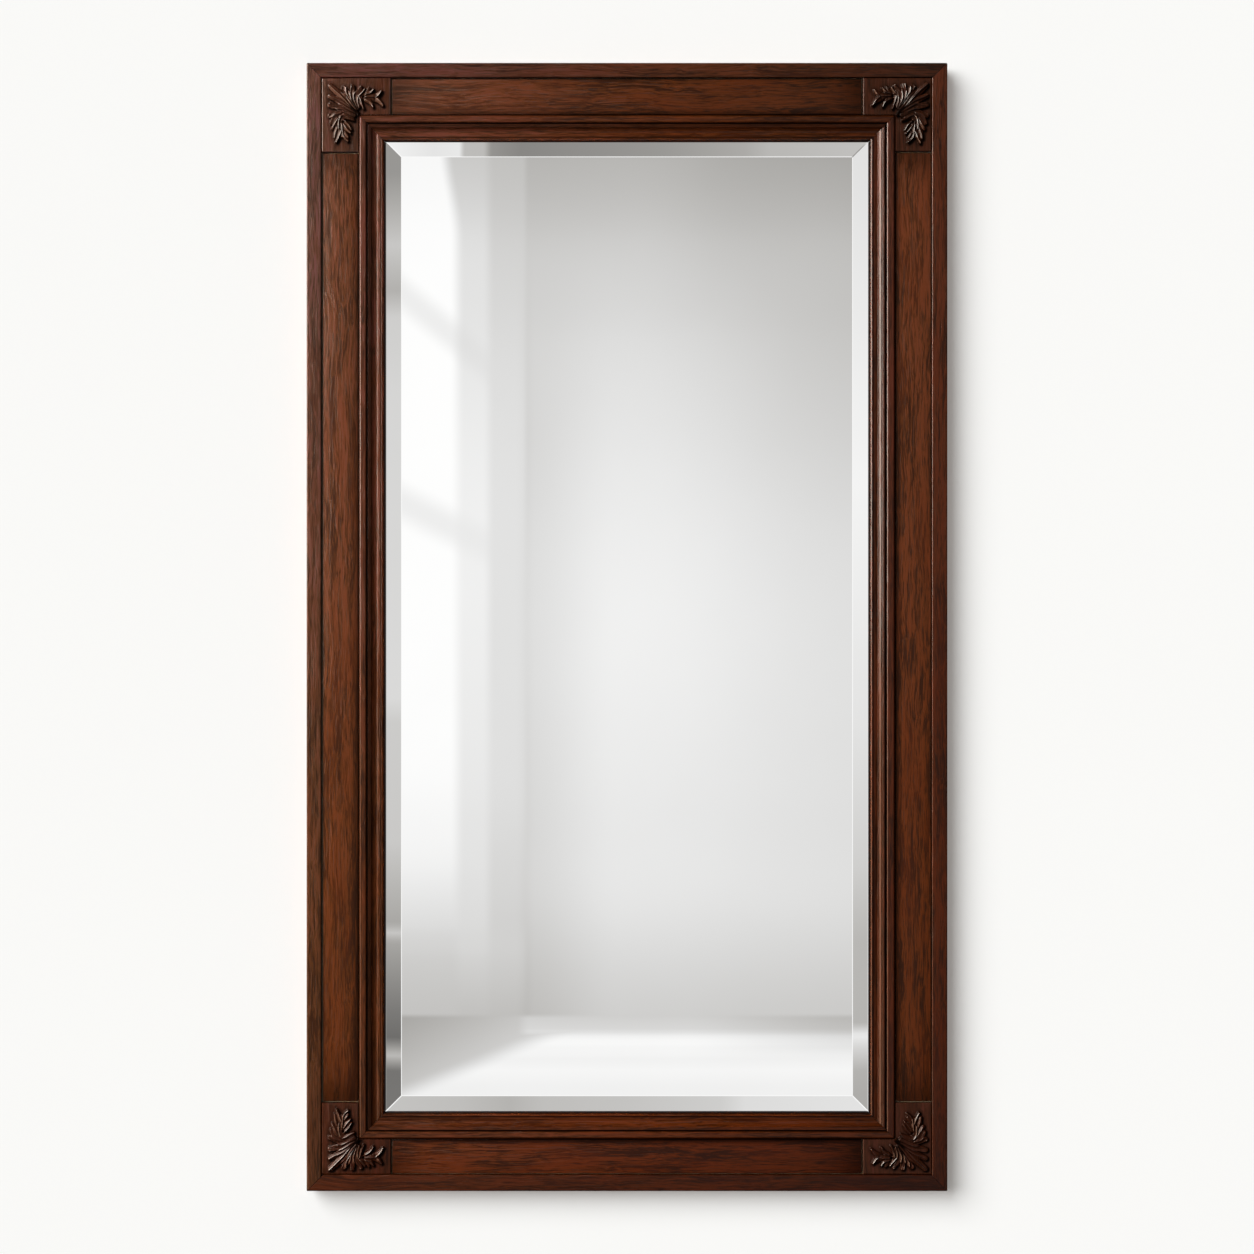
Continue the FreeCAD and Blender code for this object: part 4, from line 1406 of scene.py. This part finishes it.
def point_places():
    """Six points up each side and three along the top and the bottom."""
    places = []
    for z in spread(6, sight_z):
        places.append(((rebate_x, panel_rear, z), (0, 0, 0)))
        places.append(((-rebate_x, panel_rear, z), (0, math.pi, 0)))
    for x in spread(3, sight_x):
        places.append(((x, panel_rear, rebate_z), (0, -math.pi / 2, 0)))
        places.append(((x, panel_rear, -rebate_z), (0, math.pi / 2, 0)))
    return places


points = set_down("glazing_points", point_template(), point_places(), point_steel)
settle(points, "frame", "point_steel", "panel_points")
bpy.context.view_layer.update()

# %% The hanger screws
# The rings swing about their joints, and both hangers are mirror images. The strap's leaf starts
# at the wood, and its rear face is where the screws' heads sit.
hinge_x, hinge_y, hinge_z = next(
    joint["pos_m"] for joint in frame["joints"] if joint["name"] == "ring_right_swing"
)
leaf_half_sheet = 0.6 * MM
leaf_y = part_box("hanger_strap_right")[0].y + 2 * leaf_half_sheet
# How far below the hinge the two screws are.
hole_drops = (26, 41)


def screw_template():
    """A pan head screw that points forward, its head's seat at y = 0."""
    profile = [
        (0, 2.4), (1.5, 2.38), (2.5, 2.1), (3.15, 1.5), (3.45, 0.8), (3.5, 0.3), (3.4, 0),
        (1.75, 0), (1.75, -10.5), (0.9, -11.4), (0, -11.9),
    ]
    shape = lathe([(radius * MM, y * MM) for radius, y in profile], 32)
    body = linked("screw_body", mesh_from(shape, "screw_body"))
    cutter = bmesh.new()
    # The two bars of the cross in the head.
    for sizes in ((4.2, 3.0, 0.85), (0.85, 3.0, 4.2)):
        made = bmesh.ops.create_cube(cutter, size=1)
        bmesh.ops.scale(cutter, verts=made["verts"], vec=[s * MM for s in sizes])
        bmesh.ops.translate(cutter, verts=made["verts"], vec=(0, 2.4 * MM, 0))
    cross = linked("screw_cross", mesh_from(cutter, "screw_cross"))
    cut = body.modifiers.new("cross", "BOOLEAN")
    cut.operation = "DIFFERENCE"
    cut.solver = "EXACT"
    cut.use_self = True
    cut.object = cross
    result = plain_mesh(body, "screw_pattern")
    bpy.data.objects.remove(cross)
    return result


# No two crosses stand at the same angle.
screw_places = [
    ((sign * hinge_x, leaf_y, hinge_z - drop * MM), (0, 0.5 * sign + drop, 0))
    for sign in (1, -1) for drop in hole_drops
]
screws = set_down("hanger_pan_screws", screw_template(), screw_places, zinc)
settle(screws, "frame", "screw_steel", "hanger_screws")
print("screws", len(screws.data.polygons), "faces")

# %% [markdown]
# ## Strap hangers and D rings
# Each hanger is a strip of steel whose top is rolled round the straight bar of a D ring. The
# leaf is a flat outline with two holes, the roll is an open tube, and the ring is one bent
# wire whose ends meet inside the roll. The rings are separate pieces because they swing.

# %% The strap's leaf and its roll
leaf_half, leaf_foot = 7.8 * MM, -42 * MM
hole_radius = 2.05 * MM
roll_half = 7.95 * MM
roll_inner, roll_outer = 1.8 * MM, 3.0 * MM
roll_degrees, roll_steps = 335, 40


def strap_leaf(sign):
    """The flat leaf with its round foot and its two holes."""
    curve = bpy.data.curves.new("strap_outline", "CURVE")
    curve.dimensions = "2D"
    curve.fill_mode = "BOTH"
    curve.extrude = 0.4 * MM
    curve.bevel_depth = 0.2 * MM
    curve.bevel_resolution = 2
    foot = [-math.pi * k / 20 for k in range(1, 20)]
    outline = [(leaf_half, 0, 0), (leaf_half, leaf_foot, 0)]
    outline += [(leaf_half * math.cos(a), leaf_foot + leaf_half * math.sin(a), 0) for a in foot]
    outline += [(-leaf_half, leaf_foot, 0), (-leaf_half, 0, 0)]
    add_line(curve, outline)
    turn = [2 * math.pi * k / 24 for k in range(24)]
    for drop in hole_drops:
        add_line(curve, [
            (hole_radius * math.cos(a), -drop * MM + hole_radius * math.sin(a), 0) for a in turn
        ])
    mesh = plain_mesh(linked("strap_maker", curve), "strap_leaf")
    stand = Matrix.Rotation(math.pi / 2, 4, "X")
    mesh.transform(Matrix.Translation((sign * hinge_x, leaf_y - leaf_half_sheet, hinge_z)) @ stand)
    return mesh


def strap_roll(sign):
    """An open tube round the ring's bar, from the leaf round to just behind it."""
    shape = bmesh.new()
    angles = [math.radians(-90 + roll_degrees * k / roll_steps) for k in range(roll_steps + 1)]
    rows = []
    for x in (-roll_half, roll_half):
        row = []
        for radius in (roll_inner, roll_outer):
            row.append([
                shape.verts.new((
                    sign * hinge_x + x, hinge_y + radius * math.sin(a), hinge_z + radius * math.cos(a)
                )) for a in angles
            ])
        rows.append(row)
    (in_a, out_a), (in_b, out_b) = rows
    for k in range(roll_steps):
        shape.faces.new((out_a[k], out_a[k + 1], out_b[k + 1], out_b[k]))
        shape.faces.new((in_a[k], in_b[k], in_b[k + 1], in_a[k + 1]))
        shape.faces.new((in_a[k], in_a[k + 1], out_a[k + 1], out_a[k]))
        shape.faces.new((in_b[k], out_b[k], out_b[k + 1], in_b[k + 1]))
    for k in (0, roll_steps):
        shape.faces.new((in_a[k], out_a[k], out_b[k], in_b[k]))
    bmesh.ops.recalc_face_normals(shape, faces=shape.faces)
    return mesh_from(shape, "strap_roll")


def joined(name, meshes, finish, sharp=35):
    """Some meshes as one piece with one finish."""
    whole = bmesh.new()
    for mesh in meshes:
        whole.from_mesh(mesh)
        bpy.data.meshes.remove(mesh)
    bmesh.ops.remove_doubles(whole, verts=whole.verts, dist=1e-7)
    bmesh.ops.recalc_face_normals(whole, faces=whole.faces)
    mesh = mesh_from(whole, name)
    for polygon in mesh.polygons:
        polygon.material_index = 0
    mesh.materials.append(finish)
    return show(name, mesh, sharp)


# %% The ring's wire
def ring_mesh(sign):
    """A D of wire: its straight bar lies in the roll, and both its ends meet there."""
    side, bend, leg, gap, wire = 12 * MM, 3.5 * MM, 5 * MM, 0.2 * MM, 1.5 * MM
    path = [(gap, 0), (side - bend, 0)]
    path += [
        (side - bend + bend * math.sin(a), -bend + bend * math.cos(a))
        for a in (math.pi / 2 * k / 8 for k in range(1, 9))
    ]
    path += [(side * math.cos(a), -leg - side * math.sin(a)) for a in (math.pi * k / 40 for k in range(21))]
    path += [(-x, z) for x, z in path[::-1][1:]]
    curve = bpy.data.curves.new("ring_path", "CURVE")
    curve.dimensions = "3D"
    curve.bevel_depth = wire
    curve.bevel_resolution = 5
    curve.use_fill_caps = True
    add_line(curve, [(sign * hinge_x + x, hinge_y, hinge_z + z) for x, z in path], False)
    return plain_mesh(linked("ring_maker", curve), "ring_wire")


for side, sign in (("right", 1), ("left", -1)):
    strap = joined("strap_hanger_" + side, [strap_leaf(sign), strap_roll(sign)], zinc)
    settle(strap, "frame", "hanger_steel", "hanger_strap_" + side)
    ring = joined("wire_ring_" + side, [ring_mesh(sign)], bright_steel, 50)
    settle(ring, "ring_" + side, "ring_steel", "hanger_ring_" + side)
    print(strap.name, len(strap.data.polygons), "faces,", ring.name, len(ring.data.polygons), "faces")

# %% The rubber bumpers
bumper_low, bumper_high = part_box("bumper_top_right")
bumper_x = (bumper_low.x + bumper_high.x) / 2
bumper_z = (bumper_low.z + bumper_high.z) / 2
bumper_deep = -bumper_low.y / MM
bumper_shape = lathe([(radius * MM, y * MM) for radius, y in (
    (0, 0), (5.5, 0), (7.6, -0.25), (8.7, -1.0), (9.2, -2.2), (9.9, -bumper_deep + 0.6),
    (9.9, -bumper_deep), (0, -bumper_deep),
)], 40)
bumper_mesh = mesh_from(bumper_shape, "bumper_pattern")
bumper_places = [((sx * bumper_x, 0, sz * bumper_z), (0, 0, 0)) for sx, sz in CORNERS.values()]
bumpers = set_down("rubber_bumpers", bumper_mesh, bumper_places, rubber)
settle(bumpers, "frame", "bumper_rubber", *["bumper_" + corner for corner in CORNERS])
print("bumpers", len(bumpers.data.polygons), "faces")

# %% [markdown]
# ## Wall and floor
# The mirror hangs on a pale wall, which keeps the soft shadow of the frame. From behind the
# wall has to be out of the way, so its back is clear. The floor lies below the picture.

# %% The stage
def stage_plane(name, corners, finish):
    """A flat piece of the surroundings, which isn't part of the object."""
    mesh = bpy.data.meshes.new(name)
    mesh.from_pydata(corners, [], [tuple(range(len(corners)))])
    mesh.materials.append(finish)
    plane = linked(name, mesh)
    return plane


def pale_paint(name, colour, glow=0.22):
    """Matt pale paint, a little brighter to the camera, and clear from behind."""
    material, made = new_finish(name)
    place = made.place()
    mottle = made.noise(made.stretch(place, (3, 3, 3)), 3, 0.5)
    paint = made.node("ShaderNodeBsdfDiffuse", {}, {
        "Color": made.blend(mottle, scaled(colour, 0.99), colour), "Roughness": 0.0,
    })
    is_camera = made.node("ShaderNodeLightPath", out="Is Camera Ray")
    light = made.node("ShaderNodeEmission", {}, {"Color": (1.0, 0.93, 0.87), "Strength": is_camera * glow})
    lit = made.node("ShaderNodeAddShader", {}, {0: paint, 1: light})
    behind = made.node("ShaderNodeNewGeometry", out="Backfacing")
    clear = made.node("ShaderNodeBsdfTransparent")
    made.finish(made.node("ShaderNodeMixShader", {}, {0: behind, 1: lit, 2: clear}))
    return material


def upright(half_x, y, low_z, high_z):
    """The corners of an oblong that stands at y."""
    return [(-half_x, y, low_z), (half_x, y, low_z), (half_x, y, high_z), (-half_x, y, high_z)]


wall_y = 0.4 * MM
floor_z, ceiling_z = -1.32, 7
half_room = 9
wall_corners = upright(half_room, wall_y, floor_z, ceiling_z)
wall = stage_plane("wall", wall_corners, pale_paint("wall_paint", (0.80, 0.815, 0.81)))
floor = stage_plane("floor", [
    (-half_room, -half_room, floor_z), (half_room, -half_room, floor_z),
    (half_room, half_room, floor_z), (-half_room, half_room, floor_z),
], pale_paint("floor_paint", (0.78, 0.795, 0.79)))
for plane in (wall, floor):
    plane.visible_diffuse = False
    plane.visible_glossy = False
    plane.visible_transmission = False
    plane.visible_shadow = False
print("wall and floor in place")

# %% [markdown]
# ## What the mirror sees
# A mirror is only as good as the room in front of it. The photo shows a bright sash window at
# the left of a bare room, a soft patch of light on the far wall and sunlight on the floor. A
# whole room could be built, but only its picture matters, so one large card behind the camera
# carries it. It lights nothing and is seen in reflections alone.

# %% The room card
card_y = -4.5
half_card_x, half_card_z = 2.1, 3.0
mirror_gap = plate_low.y - camera.location.y
card_share = (mirror_gap + plate_low.y - card_y) / mirror_gap
card_x = sight_x * card_share
card_z = sight_z * card_share
# How much of the light the silvering gives back.
silver_share = 0.915


def greys(levels):
    """A table of display levels from 0 to 255, as shares of 1."""
    return [(place, level / 255) for place, level in levels]


def over(below, above, share):
    """One level laid over another."""
    return below + (above - below) * share


def glass_view(made, u, v):
    """The room in the flat of the glass, as display levels, with u and v from -1 to 1 over it."""
    # The far wall, from the floor up, darker toward the left and the right.
    back = made.profile(v, greys([
        (-0.80, 207), (-0.58, 228), (-0.35, 234), (0.05, 240), (0.35, 232), (0.6, 220), (0.8, 204),
        (0.96, 184),
    ]), "CARDINAL")
    back = back - 0.071 * (1 - u.rise(-0.46, -0.02)) * (1 - 0.9 * v.rise(0.25, 0.9))
    back = back - 0.062 * u.rise(0.0, 1.0) * (1 + v * 0.9) + 0.055 * u.rise(0.3, 0.9) * v.rise(0.5, 0.9)
    # The wall beside the window, then the window's reveal and its pane, all from the floor up.
    left = made.profile(v, greys([
        (-0.80, 191), (-0.68, 206), (-0.58, 211), (-0.35, 222), (0, 225), (0.35, 225), (0.6, 218), (0.8, 208),
        (0.96, 194),
    ]), "CARDINAL")
    reveal = made.profile(v, greys([
        (-0.80, 193), (-0.68, 210), (-0.62, 218), (-0.5, 226), (-0.35, 231), (0, 239), (0.35, 238),
        (0.6, 229), (0.8, 222), (0.96, 203),
    ]), "CARDINAL")
    pane = made.profile(v, greys([
        (-0.80, 195), (-0.68, 206), (-0.62, 219), (-0.5, 240), (-0.35, 249), (-0.2, 253), (0.8, 253),
        (0.97, 248),
    ]), "CARDINAL")
    # Two glazing bars slope across the pane and throw their shade on the reveal.
    bars = [
        ((u + 0.931) * lean + v - level).size().rise(0.004, 0.060)
        for lean, level in ((0.42, 0.688), (0.25, 0.256))
    ]
    bar = 1 - bars[0].least(bars[1])
    pane = pane - 0.062 * bar
    reveal = reveal - 0.022 * bar
    # The four side by side: pane, reveal, wall and far wall, from the left.
    side = over(left, reveal, 1 - u.rise(-0.60, -0.545))
    side = over(side, pane, 1 - (u + v.rise(0.8, 1.0) * 0.05).rise(-0.735, -0.670))
    room = over(side, back, u.rise(-0.435, -0.405))
    room = room - 0.018 * u.band(-0.435, -0.405, 0.03) * (1 - v.rise(0.5, 0.9))

    # The floor in shade and in the sun, and the slanting edge between the two.
    shade = 0.70 + (u + 0.9).least(0.6) * 0.24 - (v + 0.85) * 0.8
    sunny = made.profile(v, greys([
        (-0.97, 241), (-0.95, 240), (-0.915, 246), (-0.892, 241), (-0.88, 245), (-0.868, 245), (-0.855, 250),
        (-0.843, 240), (-0.832, 216), (-0.80, 206),
    ]))
    sunny = sunny - 0.09 * (u.rise(0.2, 1.0) * v.rise(-0.90, -0.85))
    edge = (v + 0.845).least(0.05) * 5 - 0.36
    lit = (u - edge).rise(-0.10, 0.13).most(u.rise(-0.46, -0.40) * v.rise(-0.845, -0.830))
    ground = over(shade, sunny, lit)
    return over(room, ground, 1 - v.rise(-0.808, -0.796))


def bevel_view(made, u, v, picture):
    """What each bevel sees beyond the view of the flat, laid round it."""
    left = made.profile(v, greys([
        (-0.98, 118), (-0.93, 116), (-0.897, 188), (-0.86, 110), (-0.80, 124), (-0.66, 166), (-0.641, 198),
        (-0.62, 168), (-0.45, 201), (-0.2, 203), (-0.15, 217), (0.5, 213), (0.65, 206), (0.705, 177),
        (0.8, 200), (0.95, 151),
    ]))
    right = made.profile(v, greys([
        (-0.98, 172), (-0.93, 178), (-0.88, 213), (-0.855, 236), (-0.83, 181), (-0.66, 183), (-0.5, 207),
        (-0.2, 227), (0.1, 238), (0.3, 244), (0.6, 236), (0.95, 226),
    ]))
    above = made.profile(u, greys([
        (-0.98, 240), (-0.82, 228), (-0.71, 232), (-0.69, 188), (-0.605, 187), (-0.575, 147), (-0.45, 135),
        (-0.2, 142), (0.15, 152), (0.5, 170), (0.6, 183), (0.98, 192),
    ]))
    below = made.profile(u, greys([
        (-0.98, 195), (-0.7, 190), (-0.5, 180), (-0.35, 191), (0, 195), (0.4, 206), (0.5, 220), (0.98, 226),
    ]))
    picture = over(picture, above, v.rise(1.455, 1.475))
    picture = over(picture, below, 1 - v.rise(-1.475, -1.455))
    picture = over(picture, left, 1 - u.rise(-1.92, -1.89))
    picture = over(picture, right, u.rise(1.89, 1.92))
    # The steep rim of the bevel sees a darker place at the left than elsewhere. Its narrow facets
    # see a bright one, apart from the upper right corner.
    rim_across = u.size().band(1.66, 1.88, 0.01)
    rim_upright = v.size().band(1.315, 1.445, 0.01)
    rim = 0.62 + 0.32 * u.rise(-0.2, 0.2)
    picture = over(picture, rim, rim_across)
    picture = over(picture, 0.93, rim_upright * (1 - rim_across))
    thread_across = u.size().band(1.25, 1.65, 0.01)
    thread_upright = v.size().band(1.12, 1.30, 0.01)
    picture = over(picture, 0.985, thread_across.most(thread_upright))
    upper_right = thread_across * thread_upright * u.rise(0, 0.1) * v.rise(0, 0.1)
    return over(picture, 0.58, upper_right)


def room_picture():
    """The room on the card, with the bevels' views round it."""
    material, made = new_finish("room_picture")
    place = made.place()
    x, y, z = made.axes(place)
    u, v = x / card_x, z / card_z
    picture = bevel_view(made, u, v, glass_view(made, u, v))
    cloud = made.noise(made.stretch(place, (2.2, 2.2, 2.2)), 3, 0.6) - 0.5
    picture = picture + cloud * 0.012
    radiance = ((picture + 0.055) / 1.055) ** 2.4 / silver_share
    light = made.node("ShaderNodeEmission", {}, {
        "Color": made.blend(picture.rise(0.6, 0.93), (1.012, 0.988, 0.945), (1.0, 1.0, 0.995)),
        "Strength": radiance,
    })
    made.finish(light)
    return material


card = stage_plane("room_card", upright(half_card_x, card_y, -half_card_z, half_card_z), room_picture())
card.visible_camera = False
card.visible_diffuse = False
card.visible_shadow = False
card.visible_transmission = False
print(f"card seen {card_share:.3f} times the size of the glass")

# %% [markdown]
# ## Light
# The shadow on the wall is soft, about as wide as the frame is deep, and falls to the right
# and down, so a large soft light stands at the upper left. A second, smaller one on the same
# side gives the bright lines on the rounded edges that face left. It ends at half the height of
# the mirror, as a window does at its sill, and below it a dim warm panel stands for the wall
# there, so the lines fade toward the bottom. The world fills the rest.

# %% Lamps and world
def lamp(name, kind, energy, place, aim, **settings):
    """A lamp that the camera doesn't see."""
    data = bpy.data.lights.new(name, kind)
    data.energy = energy
    made = bpy.data.objects.new(name, data)
    made.location = place
    made.rotation_euler = (Vector(aim) - Vector(place)).to_track_quat("-Z", "Y").to_euler()
    made.visible_camera = False
    for setting, value in settings.items():
        setattr(made if setting.startswith("visible") else data, setting, value)
    scene.collection.objects.link(made)


def lit_panel(name, radiance, width, height, place, aim, **settings):
    """An area lamp that keeps its radiance, whatever its size."""
    lamp(
        name, "AREA", radiance * width * height * math.pi, place, aim,
        shape="RECTANGLE", size=width, size_y=height, **settings,
    )


window_place = Vector((-1.65, -3.0, 1.0))
window_ray = Vector((0.80, 1.0, -0.58))
lamp(
    "window_light", "SUN", 3.54, window_place, window_place + window_ray,
    angle=math.radians(49), visible_glossy=False,
)
lit_panel(
    "side_panel", 39, 3.5, 4.2, (-2.5, -1.95, 2.1), (0, -1.95, 2.1),
    visible_diffuse=False, color=(1.0, 0.94, 0.83),
)
lit_panel(
    "warm_panel", 14, 3.5, 2.2, (-2.5, -1.95, -1.1), (0, -1.95, -1.1),
    visible_diffuse=False, color=(1.0, 0.6, 0.38),
)
lit_panel("rear_light", 5, 2.4, 2.4, (1.6, 3.0, 1.8), (0, 0, 0), visible_glossy=False)

world = bpy.data.worlds.new("studio_air")
scene.world = world
world.use_nodes = True
air = Recipe(world.node_tree)
is_camera = air.node("ShaderNodeLightPath", out="Is Camera Ray")
# The air lights the frame a little, and the camera itself sees it almost white.
air_light, air_seen = 0.12, 0.86
strength = air_light + is_camera * air_seen
air.finish(air.node("ShaderNodeBackground", {}, {"Color": (1.0, 0.998, 0.99), "Strength": strength}), True)
